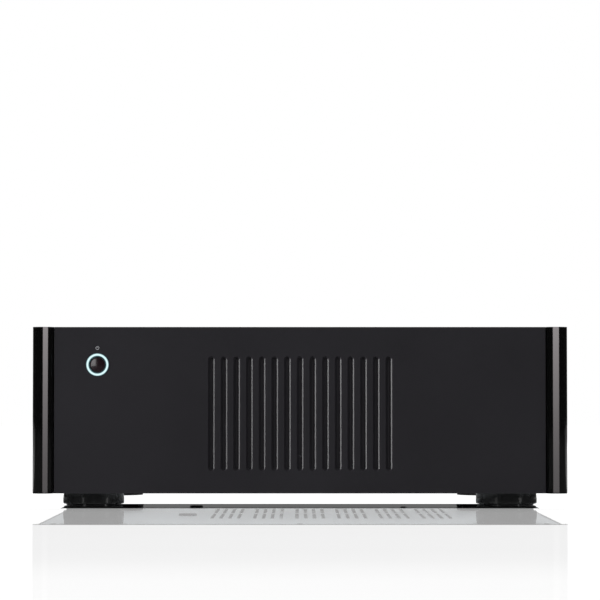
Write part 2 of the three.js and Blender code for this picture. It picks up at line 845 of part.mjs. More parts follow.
function makeTerminals() {
  const shelf = assembly(0, rearFace, terminalZ());
  const plateFace = seatGap + plateThickness;
  const width = channelSpacing + postSpacing + 2 * plateMargin;
  const holes = terminals().map(({ x }) =>
    bar(shankRadius + runGap, seatGap - cutOver, plateFace + cutOver, fewRound).translate(x, 0, 0),
  );
  const plate = cut(slab(width, 2 * plateMargin, seatGap, plateFace), holes);
  place("terminal_plate", plate, finish.plastic, shelf);

  const nutBack = -sheet - seatGap;
  const collarFront = plateFace + seatGap;
  const collarBack = collarFront + collarHeight;
  const postProfile = [
    [0, nutBack - shankNutHeight - shankTail],
    [shankRadius, nutBack - shankNutHeight - shankTail],
    [shankRadius, nutBack - shankNutHeight],
    [shankNut, nutBack - shankNutHeight],
    [shankNut, nutBack],
    [shankRadius, nutBack],
    [shankRadius, collarFront],
    [collarRadius, collarFront],
    [collarRadius, collarBack],
    [postRadius, collarBack],
    [postRadius, postReach],
    [socketRadius, postReach],
    [socketRadius, postReach - socketDepth],
    [0, postReach - socketDepth],
  ];
  const washerFront = collarBack + runGap;
  const washerBack = washerFront + washerThickness;
  const knobFront = washerBack + runGap;
  const knobBack = postReach - postTip;
  const hole = post(wireHole, -postRadius - cutOver, postRadius + cutOver, fewRound / 2);
  hole.translate(0, washerBack + wireHole, 0);
  const postGeometry = cut(turned(postProfile, fewRound), [hole]);
  const washer = turned(
    ringProfile(postRadius + runGap, knobRadius - fluteDepth, washerFront, washerBack),
    fewRound,
  );
  const knob = new THREE.ExtrudeGeometry(knobOutline(), {
    depth: knobBack - knobFront,
    bevelEnabled: false,
    curveSegments: fewRound,
  });
  knob.rotateX(-Math.PI / 2).translate(0, knobFront, 0);
  for (const { name, x, material } of terminals()) {
    const axis = assembly(x, 0, 0, shelf);
    place("post_" + name, postGeometry, finish.gold, axis);
    place("washer_" + name, washer, finish.gold, axis);
    place("knob_" + name, knob, material, axis);
  }
}

// A three-pole balanced socket: square flange, round body, and an insert with three pin holes.
function balancedSocket() {
  const outside = seatGap + flangePlate;
  const inside = -sheet - inputDepth + seatGap;
  const body = joined([
    slab(flangeWidth, flangeTall, seatGap, outside),
    bar(socketShell, inside, outside - flangePlate / 2, midRound),
  ]);
  const ring = turned(
    ringProfile(insertRadius, insertRadius + plugRing, outside - plugRingDepth, outside + cutOver),
    midRound,
  );
  const cutters = [ring];
  for (let i = 0; i < 3; i++) {
    const angle = Math.PI / 2 + (i - 1) * (Math.PI / 2);
    const hole = bar(pinHole, outside - pinDepth, outside + cutOver, fewRound / 2);
    cutters.push(hole.translate(pinCircle * Math.cos(angle), 0, -pinCircle * Math.sin(angle)));
  }
  return cut(body, cutters);
}

function phonoJack() {
  const inside = -sheet - inputDepth + seatGap;
  const profile = [
    [0, inside],
    [phonoRadius, inside],
    [phonoRadius, -sheet - seatGap],
    [phonoNeck, -sheet - seatGap],
    [phonoNeck, seatGap],
    [phonoFlange, seatGap],
    [phonoFlange, seatGap + phonoPlate],
    [phonoRadius, seatGap + phonoPlate],
    [phonoRadius, phonoReach],
    [phonoCore, phonoReach],
    [phonoCore, phonoReach - phonoDepth],
    [0, phonoReach - phonoDepth],
  ];
  return turned(profile, fewRound);
}

function makeInputs() {
  const [leftZ, rightZ] = inputHeights();
  for (const [side, z] of [["left", leftZ], ["right", rightZ]]) {
    place("balanced_socket_" + side, balancedSocket(), finish.gloss, assembly(inputX, rearFace, z));
    place("phono_jack_" + side, phonoJack(), finish.gold, assembly(inputX + phonoGap, rearFace, z));
  }
  const edge = socketShell + boardMargin / 2;
  const board = block(
    inputX - edge,
    inputX + phonoGap + edge,
    boardFront,
    boardFront + boardThickness,
    rightZ - edge,
    leftZ + edge,
  );
  place("input_board", board, finish.board);
}

function makeTriggers() {
  const seat = assembly(0, rearFace, controlZ());
  const [left, right] = triggerXs();
  const front = -sheet - seatGap;
  const width = triggerSpacing / 2 + triggerRadius;
  const body = block(
    left - triggerRadius,
    right + triggerRadius,
    front - width,
    front,
    -triggerHeight / 2,
    triggerHeight / 2,
  );
  const noses = [left, right].map((x) =>
    bar(triggerRadius, front - triggerRadius, triggerReach, fewRound).translate(x, 0, 0),
  );
  const holes = [left, right].map((x) =>
    bar(triggerBore, front - triggerRadius, triggerReach + cutOver, fewRound / 2).translate(x, 0, 0),
  );
  place("trigger_sockets", cut(joined([body, ...noses]), holes), finish.plastic, seat);
}

// Two-way slide switch: the slider's foot runs in a pocket of the housing, its nib comes out.
function makeSelector() {
  const seat = assembly(-selectorOffset, rearFace, controlZ());
  const front = -sheet - seatGap;
  const footWidth = sliderWidth + 2 * sliderLip;
  const footHeight = sliderHeight + 2 * sliderLip;
  const pocketWidth = footWidth + sliderTravel + 2 * runGap;
  const pocketHeight = footHeight + 2 * runGap;
  const pocketDepth = sliderBase + 2 * runGap;
  const housing = slab(
    pocketWidth + 2 * selectorWall,
    pocketHeight + 2 * selectorWall,
    front - selectorDepth,
    front,
  );
  const pocket = slab(pocketWidth, pocketHeight, front - pocketDepth, front + cutOver);
  place("selector_housing", cut(housing, [pocket]), finish.plastic, seat);
  const foot = slab(footWidth, footHeight, front - runGap - sliderBase, front - runGap);
  const nib = slab(sliderWidth, sliderHeight, front - runGap - sliderBase / 2, sliderProud);
  const slider = assembly(-sliderTravel / 2, 0, 0, seat);
  place("selector_slider", joined([foot, nib]), finish.gloss, slider);
}

function makeInlet() {
  const seat = assembly(inletX, rearFace, terminalZ());
  const outside = seatGap + inletPlate;
  const bodyWidth = inletWidth + 2 * inletWall;
  const bodyHeight = inletHeight + 2 * inletWall;
  const floor = outside - inletDepth;
  const shell = joined([
    slab(bodyWidth + 2 * inletEar, bodyHeight, seatGap, outside),
    slab(bodyWidth, bodyHeight, floor - inletWall, outside - inletPlate / 2),
  ]);
  const half = inletWidth / 2;
  const cavity = new THREE.Shape();
  cavity.moveTo(-half, -inletHeight / 2);
  cavity.lineTo(half, -inletHeight / 2);
  cavity.lineTo(half, inletHeight / 2 - inletCorner);
  cavity.lineTo(half - inletCorner, inletHeight / 2);
  cavity.lineTo(-half + inletCorner, inletHeight / 2);
  cavity.lineTo(-half, inletHeight / 2 - inletCorner);
  const well = new THREE.ExtrudeGeometry(cavity, { depth: inletDepth + cutOver, bevelEnabled: false });
  well.rotateX(Math.PI / 2).translate(0, outside + cutOver, 0);
  const pins = [[-pinSpacing, -pinStep], [0, pinStep], [pinSpacing, -pinStep]].map(([x, z]) =>
    slab(pinThickness, pinBlade, floor - inletWall / 2, floor + pinLength).translate(x, 0, z),
  );
  place("mains_inlet", joined([cut(shell, [well]), ...pins]), finish.plastic, seat);
}

makeFaceplate();
makePillars();
makeSubpanel();
makeLamp();
makeButton();
makeBasePlate();
makeCover();
makeRearPanel();
makeFeet();
makeTransformer();
makeBridge();
makeSupply();
makeChannel("left", -1);
makeChannel("right", 1);
makeTerminals();
makeInputs();
makeTriggers();
makeSelector();
makeInlet();

export default amplifier;
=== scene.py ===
# Looks of a stereo power amplifier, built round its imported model.
# Metres, in the model's own frame: -Y is the front, Z is up and the floor is z = 0.
import math

import bmesh
import bpy
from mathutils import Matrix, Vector


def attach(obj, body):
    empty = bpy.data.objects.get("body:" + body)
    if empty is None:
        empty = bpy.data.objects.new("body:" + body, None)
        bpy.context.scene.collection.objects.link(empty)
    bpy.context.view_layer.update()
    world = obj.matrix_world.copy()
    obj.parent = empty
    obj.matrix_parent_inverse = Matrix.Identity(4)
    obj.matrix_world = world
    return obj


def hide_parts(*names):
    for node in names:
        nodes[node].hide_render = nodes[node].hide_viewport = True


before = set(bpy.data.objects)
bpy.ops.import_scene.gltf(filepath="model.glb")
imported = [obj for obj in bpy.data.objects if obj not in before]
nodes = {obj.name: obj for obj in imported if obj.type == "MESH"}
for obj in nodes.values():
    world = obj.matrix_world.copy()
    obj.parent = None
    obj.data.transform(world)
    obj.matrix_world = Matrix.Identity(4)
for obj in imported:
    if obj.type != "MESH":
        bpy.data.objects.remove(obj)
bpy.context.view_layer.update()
mm = 0.001
print("frame loaded:", len(nodes), "nodes")


# Colours and shader nodes

def linearColour(code):
    # sRGB hex to the linear colour that a socket takes
    channels = []
    for start in (1, 3, 5):
        value = int(code[start:start + 2], 16) / 255
        channels.append(value / 12.92 if value <= 0.04045 else ((value + 0.055) / 1.055) ** 2.4)
    return (*channels, 1.0)


def addNode(tree, kind, settings=None, inputs=()):
    # one node with its settings, values and links: inputs go in order, or by name or number,
    # and a node given as a value stands for its first output
    node = tree.nodes.new(kind)
    for name, value in (settings or {}).items():
        setattr(node, name, value)
    for socket, value in (inputs if isinstance(inputs, dict) else dict(enumerate(inputs))).items():
        if isinstance(value, bpy.types.Node):
            value = value.outputs[0]
        if isinstance(value, bpy.types.NodeSocket):
            tree.links.new(value, node.inputs[socket])
        else:
            node.inputs[socket].default_value = value
    return node


# Settings that many nodes share
multiply, largest, absolute = {"operation": "MULTIPLY"}, {"operation": "MAXIMUM"}, {"operation": "ABSOLUTE"}
moreThan, lessThan = {"operation": "GREATER_THAN"}, {"operation": "LESS_THAN"}
numbers, colours = {"data_type": "FLOAT"}, {"data_type": "RGBA"}
smooth = {"interpolation_type": "SMOOTHSTEP"}


def inMetres(*values):
    return [value * mm for value in values]


def between(tree, value, low, high):
    # 1 where value lies between low and high
    above = addNode(tree, "ShaderNodeMath", moreThan, [value, low])
    below = addNode(tree, "ShaderNodeMath", lessThan, [value, high])
    return addNode(tree, "ShaderNodeMath", multiply, [above, below])


def distanceFrom(tree, x, z):
    # distance in metres from an axis along Y, whose place is in millimetres
    place = addNode(tree, "ShaderNodeTexCoord").outputs["Object"]
    flat = addNode(tree, "ShaderNodeVectorMath", multiply, [place, (1, 0, 1)])
    apart = addNode(tree, "ShaderNodeVectorMath", {"operation": "DISTANCE"}, [flat, inMetres(x, 0, z)])
    return apart.outputs["Value"]


def emptyMaterial(name):
    material = bpy.data.materials.new(name)
    material.use_nodes = True
    material.node_tree.nodes.clear()
    return material, material.node_tree


# How the three kinds of grain are drawn, their usual share, and the span that a mixed noise really fills
drawn = {
    "pebbleBlend": 0.6, "lineStretch": 0.01, "lineDetail": 3.0, "noiseDetail": 4.0,
    "grainShare": 0.5, "tones": (0.2, 0.8),
}


def grainTexture(tree, look, place):
    # the fine pattern of a surface, at its size in millimetres
    scale = 1 / (look["grain"] * mm)
    if look.get("pattern") == "pebble":
        values = {"Vector": place, "Scale": scale, "Smoothness": drawn["pebbleBlend"]}
        return addNode(tree, "ShaderNodeTexVoronoi", {"feature": "SMOOTH_F1"}, values).outputs["Distance"]
    if look.get("pattern") == "lines":
        stretch = [scale if axis == look["across"] else scale * drawn["lineStretch"] for axis in "xyz"]
        pulled = addNode(tree, "ShaderNodeVectorMath", multiply, [place, stretch])
        values = {"Vector": pulled, "Scale": 1.0, "Detail": drawn["lineDetail"]}
    else:
        values = {"Vector": place, "Scale": scale, "Detail": drawn["noiseDetail"]}
    return addNode(tree, "ShaderNodeTexNoise", None, values).outputs["Fac"]


def surfaceMaterial(name, look):
    # a finish with its own grain, a slow drift of tone, and roughness and bump that follow the grain
    material, tree = emptyMaterial(name)
    place = addNode(tree, "ShaderNodeTexCoord").outputs["Object"]
    grain = grainTexture(tree, look, place)
    drift = addNode(tree, "ShaderNodeTexNoise", None, {"Vector": place, "Scale": 1 / (look["drift"] * mm)})
    share = look.get("grainShare", drawn["grainShare"])
    tone = addNode(tree, "ShaderNodeMix", numbers, {"Factor": share, 2: drift.outputs["Fac"], 3: grain})
    dark, pale = linearColour(look["dark"]), linearColour(look["pale"])
    colour = addNode(tree, "ShaderNodeMix", colours, {"Factor": tone, 6: dark, 7: pale})
    rough = addNode(tree, "ShaderNodeMapRange", None, [tone, *drawn["tones"], *look["rough"]])
    relief = {"Height": grain, "Strength": look["relief"], "Distance": look["height"] * mm}
    bump = addNode(tree, "ShaderNodeBump", None, relief)
    shader = addNode(tree, "ShaderNodeBsdfPrincipled", None, {
        "Base Color": colour.outputs[2], "Roughness": rough, "Normal": bump, **look["shader"],
    })
    addNode(tree, "ShaderNodeOutputMaterial", None, [shader])
    return material


def swapColour(material, factor, code, metallic=None):
    # another colour, and more or less metal, where factor is 1
    tree = material.node_tree
    shader = tree.nodes["Principled BSDF"].inputs
    old = shader["Base Color"].links[0].from_socket
    mixed = addNode(tree, "ShaderNodeMix", colours, {"Factor": factor, 6: old, 7: linearColour(code)})
    tree.links.new(mixed.outputs[2], shader["Base Color"])
    if metallic is not None:
        values = {"Factor": factor, 2: shader["Metallic"].default_value, 3: metallic}
        metal = addNode(tree, "ShaderNodeMix", numbers, values)
        tree.links.new(metal.outputs[0], shader["Metallic"])


# Finishes. Sizes are millimetres: grain is the fine pattern, drift the slow one, height the relief.
# grainShare is how much of the tone comes from the grain, and lines run square to across.

# anodised aluminium, bead blasted first: satin black, very even, with a soft sheen on its edges
anodised = {
    "dark": "#1b1a1d", "pale": "#212024", "grainShare": 0.35,
    "grain": 1.4, "drift": 60,  # real grit 0.1, drawn coarser to show
    "rough": (0.36, 0.42), "height": 0.012, "relief": 0.3,
    "shader": {"IOR": 1.5, "Specular IOR Level": 0.28},
}
# black lacquer, polished: mirror black, with a faint pull along the extrusion under it
lacquer = {
    "dark": "#050505", "pale": "#070707", "grain": 2.0, "drift": 40, "pattern": "lines", "across": "x",
    "rough": (0.03, 0.05), "height": 0.004, "relief": 0.12,
    "shader": {"IOR": 1.5, "Coat Weight": 0.3, "Coat Roughness": 0.02},
}
# powder coated steel, fine texture: matt black with small pebbles that catch the light
powderCoat = {
    "dark": "#111112", "pale": "#252526", "grainShare": 0.7, "pattern": "pebble",
    "grain": 2.2, "drift": 45,  # real pebbles 0.4, drawn coarser to show
    "rough": (0.50, 0.68), "height": 0.12, "relief": 0.6,
    "shader": {"IOR": 1.5, "Specular IOR Level": 0.3},
}
# ABS, moulded with a spark-eroded skin: satin black with a low sheen
mouldedFoot = {
    "dark": "#191a1a", "pale": "#222223", "grain": 0.9, "drift": 25,
    "rough": (0.16, 0.22), "height": 0.01, "relief": 0.15,
    "shader": {"IOR": 1.54, "Specular IOR Level": 0.25},
}
# ABS, moulded in a finer tool: even black with a fine skin
mouldedPlastic = {
    "dark": "#111112", "pale": "#1b1b1c", "grain": 0.7, "drift": 12,
    "rough": (0.35, 0.5), "height": 0.02, "relief": 0.4,
    "shader": {"IOR": 1.54},
}
# screen printing ink: flat pale grey with a slightly uneven edge of tone
screenInk = {
    "dark": "#a6a8ab", "pale": "#bdbfc2", "grain": 0.4, "drift": 3,
    "rough": (0.5, 0.65), "height": 0.01, "relief": 0.2,
    "shader": {"IOR": 1.5},
}
# rubber, moulded: dead matt with dust in its pores
mouldedRubber = {
    "dark": "#0b0b0b", "pale": "#171717", "grain": 0.8, "drift": 15,
    "rough": (0.78, 0.92), "height": 0.04, "relief": 0.6,
    "shader": {"IOR": 1.52},
}
# polycarbonate, gloss moulded and tinted: deep dark cap with a clean highlight
glossCap = {
    "dark": "#1a0a10", "pale": "#240f17", "grain": 3.0, "drift": 6,
    "rough": (0.20, 0.26), "height": 0.01, "relief": 0.1,
    "shader": {"IOR": 1.58, "Coat Weight": 0.5, "Coat Roughness": 0.05},
}
# acrylic, smoked and polished: a tiny dark bead with a bright spot
smokedLens = {
    "dark": "#26262a", "pale": "#3a3a40", "grain": 0.5, "drift": 2,
    "rough": (0.08, 0.14), "height": 0.01, "relief": 0.1,
    "shader": {"IOR": 1.49, "Coat Weight": 0.6},
}
# brass, turned and gold plated: warm metal with fine rings from the tool
goldPlate = {
    "dark": "#c9973f", "pale": "#e8c06a", "grain": 0.5, "drift": 6, "pattern": "lines", "across": "y",
    "rough": (0.14, 0.26), "height": 0.01, "relief": 0.35,
    "shader": {"Metallic": 1.0},
}
# polycarbonate, red moulded: clear deep red with a glossy skin
redKnob = {
    "dark": "#7c0b10", "pale": "#a01218", "grain": 1.2, "drift": 8,
    "rough": (0.18, 0.28), "height": 0.01, "relief": 0.2,
    "shader": {"IOR": 1.58, "Coat Weight": 0.3},
}
# polycarbonate, black moulded: black with the same glossy skin
blackKnob = {
    "dark": "#0d0d0e", "pale": "#161618", "grain": 1.2, "drift": 8,
    "rough": (0.18, 0.28), "height": 0.01, "relief": 0.2,
    "shader": {"IOR": 1.58, "Coat Weight": 0.3},
}
# nylon, moulded: dull grey slider with a slight sheen
mouldedNylon = {
    "dark": "#3a3a3d", "pale": "#4a4a4e", "grain": 0.6, "drift": 5,
    "rough": (0.4, 0.5), "height": 0.02, "relief": 0.3,
    "shader": {"IOR": 1.53},
}
# steel, zinc plated and passivated: cool grey with cloudy bright patches
zincSteel = {
    "dark": "#9a9ea3", "pale": "#c3c7cb", "grain": 0.9, "drift": 7,
    "rough": (0.25, 0.45), "height": 0.01, "relief": 0.3,
    "shader": {"Metallic": 1.0},
}
# steel sheet, hot dip galvanised: pale grey with large dull spangles
galvanised = {
    "dark": "#8b8f92", "pale": "#b3b6b8", "grain": 9.0, "drift": 20, "pattern": "pebble",
    "rough": (0.32, 0.5), "height": 0.01, "relief": 0.2,
    "shader": {"Metallic": 0.6},
}
# steel, black oxide on a cold headed screw: dark metal with worn rims
blackScrew = {
    "dark": "#1a1a1b", "pale": "#2c2c2e", "grain": 0.5, "drift": 3,
    "rough": (0.3, 0.45), "height": 0.01, "relief": 0.4,
    "shader": {"Metallic": 0.7},
}
# aluminium, extruded and clear anodised: pale metal with lines along the die
extruded = {
    "dark": "#8f9295", "pale": "#a9acaf", "grain": 0.6, "drift": 30, "pattern": "lines", "across": "z",
    "rough": (0.35, 0.5), "height": 0.01, "relief": 0.5,
    "shader": {"Metallic": 1.0},
}
# glass-epoxy board under green solder mask: dark green with the weave just showing
solderMask = {
    "dark": "#0e3320", "pale": "#17492d", "grain": 1.0, "drift": 9,
    "rough": (0.25, 0.4), "height": 0.03, "relief": 0.4,
    "shader": {"IOR": 1.55, "Coat Weight": 0.4},
}
# PET sleeve, shrunk over an aluminium can: smooth blue-black with faint pull marks
shrunkSleeve = {
    "dark": "#10131d", "pale": "#181d2b", "grain": 2.5, "drift": 14, "pattern": "lines", "across": "z",
    "rough": (0.2, 0.32), "height": 0.02, "relief": 0.2,
    "shader": {"IOR": 1.57, "Coat Weight": 0.3},
}
# enamelled copper under polyester tape: amber brown turns with a dull film over them
tapedWinding = {
    "dark": "#5a3417", "pale": "#8a5a2a", "grain": 1.0, "drift": 12,
    "rough": (0.3, 0.45), "height": 0.05, "relief": 0.5,
    "shader": {"IOR": 1.6, "Coat Weight": 0.5},
}

anodisedMaterial = surfaceMaterial("anodised_aluminium_bead_blasted", anodised)
lacquerMaterial = surfaceMaterial("black_lacquer_polished", lacquer)
powderMaterial = surfaceMaterial("steel_powder_coated", powderCoat)
footMaterial = surfaceMaterial("abs_moulded_satin", mouldedFoot)
plasticMaterial = surfaceMaterial("abs_moulded_fine", mouldedPlastic)
printMaterial = surfaceMaterial("ink_screen_printed", screenInk)
rubberMaterial = surfaceMaterial("rubber_moulded", mouldedRubber)
capMaterial = surfaceMaterial("polycarbonate_gloss_tinted", glossCap)
lensMaterial = surfaceMaterial("acrylic_smoked", smokedLens)
goldMaterial = surfaceMaterial("brass_turned_gold_plated", goldPlate)
redMaterial = surfaceMaterial("polycarbonate_red_moulded", redKnob)
blackMaterial = surfaceMaterial("polycarbonate_black_moulded", blackKnob)
nylonMaterial = surfaceMaterial("nylon_moulded", mouldedNylon)
zincMaterial = surfaceMaterial("steel_zinc_plated", zincSteel)
galvanisedMaterial = surfaceMaterial("steel_sheet_galvanised", galvanised)
screwMaterial = surfaceMaterial("steel_black_oxide", blackScrew)
extrudedMaterial = surfaceMaterial("aluminium_extruded_anodised", extruded)
boardMaterial = surfaceMaterial("glass_epoxy_solder_mask", solderMask)
windingMaterial = surfaceMaterial("copper_winding_taped", tapedWinding)
sleeveMaterial = surfaceMaterial("pet_sleeve_shrunk", shrunkSleeve)

# Heights at which a finish gives way: the bare top of a can, and the cut edges of the base, dull bare steel darkened
# further as painted shade inside the vents
bareAndShadeBands = [(sleeveMaterial, 110.8, 200.0, "#b4b7ba", 1.0), (galvanisedMaterial, 14.02, 15.48, "#2b2a29", 0.3)]
for material, low, high, code, metallic in bareAndShadeBands:
    tree = material.node_tree
    place = addNode(tree, "ShaderNodeTexCoord").outputs["Object"]
    height = addNode(tree, "ShaderNodeSeparateXYZ", None, [place]).outputs["Z"]
    swapColour(material, between(tree, height, *inMetres(low, high)), code, metallic)
print("finishes made:", len(bpy.data.materials))


# Meshes

def showObject(name, data):
    made = bpy.data.objects.new(name, data)
    bpy.context.scene.collection.objects.link(made)
    return made


def meshFrom(name, form):
    bmesh.ops.recalc_face_normals(form, faces=form.faces[:])
    mesh = bpy.data.meshes.new(name)
    form.to_mesh(mesh)
    form.free()
    return mesh


def placePiece(name, mesh, material, sharp, stands=(), body="root"):
    # a mesh in metres becomes a piece, which stays at the origin; edges that turn by more than sharp degrees stay hard
    mesh.name = name
    mesh.materials.clear()
    mesh.materials.append(material)
    mesh.polygons.foreach_set("use_smooth", [True] * len(mesh.polygons))
    mesh.polygons.foreach_set("material_index", [0] * len(mesh.polygons))
    mesh.set_sharp_from_angle(angle=math.radians(sharp))
    piece = showObject(name, mesh)
    flats = piece.modifiers.new("flats", "WEIGHTED_NORMAL")  # large flats stay flat beside their eased edges
    flats.keep_sharp = True
    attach(piece, body)
    if stands:
        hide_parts(*stands)


def finishPiece(name, form, material, sharp, stands=(), body="root"):
    placePiece(name, meshFrom(name, form), material, sharp, stands, body)


def scratchObject(name, form):
    # a mesh that a node tree uses, removed again afterwards
    return showObject(name, meshFrom(name, form))


def addLoft(form, outlines):
    # closed skin through outlines of equally many points, in millimetres
    rings = [[form.verts.new([value * mm for value in point]) for point in outline] for outline in outlines]
    count = len(rings[0])
    for first, second in zip(rings, rings[1:]):
        for i in range(count):
            j = (i + 1) % count
            form.faces.new((first[i], first[j], second[j], second[i]))
    form.faces.new(rings[0][::-1])
    form.faces.new(rings[-1])


def addTurned(form, profile, centre, along, sides, closed=False):
    # profile holds radius and height in millimetres, from one end of the axis to the other
    rings = []
    for radius, rise in profile:
        ring = []
        for i in range(sides if radius else 1):
            angle = 2 * math.pi * i / sides
            across, over = radius * math.cos(angle), radius * math.sin(angle)
            offset = (across, over, rise) if along == "z" else (across, rise, over)
            ring.append(form.verts.new([(a + b) * mm for a, b in zip(centre, offset)]))
        rings.append(ring)
    pairs = list(zip(rings, rings[1:])) + ([(rings[-1], rings[0])] if closed else [])
    for first, second in pairs:
        for i in range(sides):
            j = (i + 1) % sides
            if len(first) == 1:
                form.faces.new((first[0], second[j], second[i]))
            elif len(second) == 1:
                form.faces.new((first[i], first[j], second[0]))
            else:
                form.faces.new((first[i], first[j], second[j], second[i]))


def addRod(form, radius, ends, centre, along, sides):
    # solid rod between two heights
    addTurned(form, [(0, ends[0]), (radius, ends[0]), (radius, ends[1]), (0, ends[1])], centre, along, sides)


def easeEdges(form, edges, easing, steps):
    bmesh.ops.bevel(form, geom=edges, offset=easing * mm, segments=steps, affect="EDGES", profile=0.5)


def addBlock(form, low, high, easing, steps):
    # box between two corners in millimetres, with its edges eased
    made = bmesh.ops.create_cube(form, size=1.0)
    for vert in made["verts"]:
        vert.co = [((a + b) / 2 + co * (b - a)) * mm for a, b, co in zip(low, high, vert.co)]
    easeEdges(form, list({edge for vert in made["verts"] for edge in vert.link_edges}), easing, steps)


def stadium(width, length, steps):
    # outline of a slot with round ends: across, along
    points = []
    half = length / 2 - width / 2
    for end, start in ((half, 0.0), (-half, math.pi)):
        for i in range(steps + 1):
            angle = start + math.pi * i / steps
            points.append((width / 2 * math.cos(angle), end + width / 2 * math.sin(angle)))
    return points


# Geometry Nodes trees: one cuts a repeated shape out of a piece, one sets a part on points

def newTree(name, sockets):
    tree = bpy.data.node_groups.new(name, "GeometryNodeTree")
    for title, kind, start in sockets:
        socket = tree.interface.new_socket(title, in_out="INPUT", socket_type=kind)
        if start is not None:
            socket.default_value = start
    tree.interface.new_socket("Geometry", in_out="OUTPUT", socket_type="NodeSocketGeometry")
    return tree, addNode(tree, "NodeGroupInput"), addNode(tree, "NodeGroupOutput")


def closeTree(tree, source, target, shape):
    # every tree ends with real geometry in one material
    whole = addNode(tree, "GeometryNodeRealizeInstances", None, [shape])
    values = {"Geometry": whole, "Material": source.outputs["Material"]}
    painted = addNode(tree, "GeometryNodeSetMaterial", None, values)
    tree.links.new(painted.outputs[0], target.inputs["Geometry"])
    return tree


def repeatedCutTree():
    sockets = [("Geometry", "NodeSocketGeometry", None), ("Cutter", "NodeSocketObject", None)]
    sockets += [("Start", "NodeSocketVector", (0, 0, 0)), ("Material", "NodeSocketMaterial", None)]
    for row in ("First", "Second", "Third"):
        sockets += [(row + " Count", "NodeSocketInt", 1), (row + " Step", "NodeSocketVector", (0, 0, 0))]
    tree, source, target = newTree("Repeated Cut", sockets)
    cutter = {"Object": source.outputs["Cutter"]}
    shape = addNode(tree, "GeometryNodeObjectInfo", None, cutter).outputs["Geometry"]
    for row in ("First", "Second", "Third"):
        values = {"Count": source.outputs[row + " Count"], "Offset": source.outputs[row + " Step"]}
        if row == "First":
            values["Start Location"] = source.outputs["Start"]
        line = addNode(tree, "GeometryNodeMeshLine", {"mode": "OFFSET"}, values)
        shape = addNode(tree, "GeometryNodeInstanceOnPoints", None, {"Points": line, "Instance": shape})
    made = addNode(tree, "GeometryNodeRealizeInstances", None, [shape])
    settings = {"operation": "DIFFERENCE", "solver": "EXACT"}
    values = {"Mesh 1": source.outputs["Geometry"], "Mesh 2": made}
    return closeTree(tree, source, target, addNode(tree, "GeometryNodeMeshBoolean", settings, values))


def partOnPointsTree():
    sockets = [("Geometry", "NodeSocketGeometry", None), ("Part", "NodeSocketObject", None)]
    sockets += [("Turn", "NodeSocketRotation", None), ("Turn Spread", "NodeSocketFloat", 0.0)]
    sockets += [("Seed", "NodeSocketInt", 3), ("Material", "NodeSocketMaterial", None)]
    tree, source, target = newTree("Part On Points", sockets)
    part = addNode(tree, "GeometryNodeObjectInfo", None, {"Object": source.outputs["Part"]}).outputs["Geometry"]
    low = addNode(tree, "ShaderNodeMath", multiply, [source.outputs["Turn Spread"], -1.0])
    spread = {"Seed": source.outputs["Seed"], 2: low, 3: source.outputs["Turn Spread"]}
    spin = addNode(tree, "FunctionNodeRandomValue", numbers, spread).outputs[1]
    twist = addNode(tree, "ShaderNodeCombineXYZ", None, {"Z": spin})
    own = addNode(tree, "FunctionNodeEulerToRotation", None, [twist])
    values = {"Rotation": source.outputs["Turn"], "Rotate By": own}
    turned = addNode(tree, "FunctionNodeRotateRotation", {"rotation_space": "LOCAL"}, values)
    values = {"Points": source.outputs["Geometry"], "Instance": part, "Rotation": turned}
    return closeTree(tree, source, target, addNode(tree, "GeometryNodeInstanceOnPoints", None, values))


cutTree, pointTree = repeatedCutTree(), partOnPointsTree()


def growTree(scratch, tree, values):
    # runs a tree on a scratch object and gives back the plain mesh
    names = {item.name: item.identifier for item in tree.interface.items_tree if item.in_out == "INPUT"}
    modifier = scratch.modifiers.new("tree", "NODES")
    modifier.node_group = tree
    for name, value in values.items():
        modifier[names[name]] = value
    graph = bpy.context.evaluated_depsgraph_get()
    mesh = bpy.data.meshes.new_from_object(scratch.evaluated_get(graph))
    scratch.modifiers.remove(modifier)
    return mesh


def removeScratch(*scratches):
    for scratch in scratches:
        mesh = scratch.data
        bpy.data.objects.remove(scratch)
        bpy.data.meshes.remove(mesh)


# Faceplate: a plate with eased edges, cut by a row of bevelled grooves

face = {
    "width": 396.0, "low": 12.5, "high": 146.5, "front": -197.5, "back": -189.5,
    "easing": 0.25, "easingSteps": 2, "sharp": 20,
    "grooves": 15, "pitch": 10.22, "grooveMiddle": 76.7, "grooveLength": 92.4, "steps": 14,
    "mouth": 5.3, "floor": 2.4, "bevel": 1.55, "depth": 2.3, "overrun": 1.0,
    "holes": [(-163.3, 116.1, 9.4, 96), (0, 42.3, 1.0, 24)],  # ring, lamp: x, z, radius and sides
}


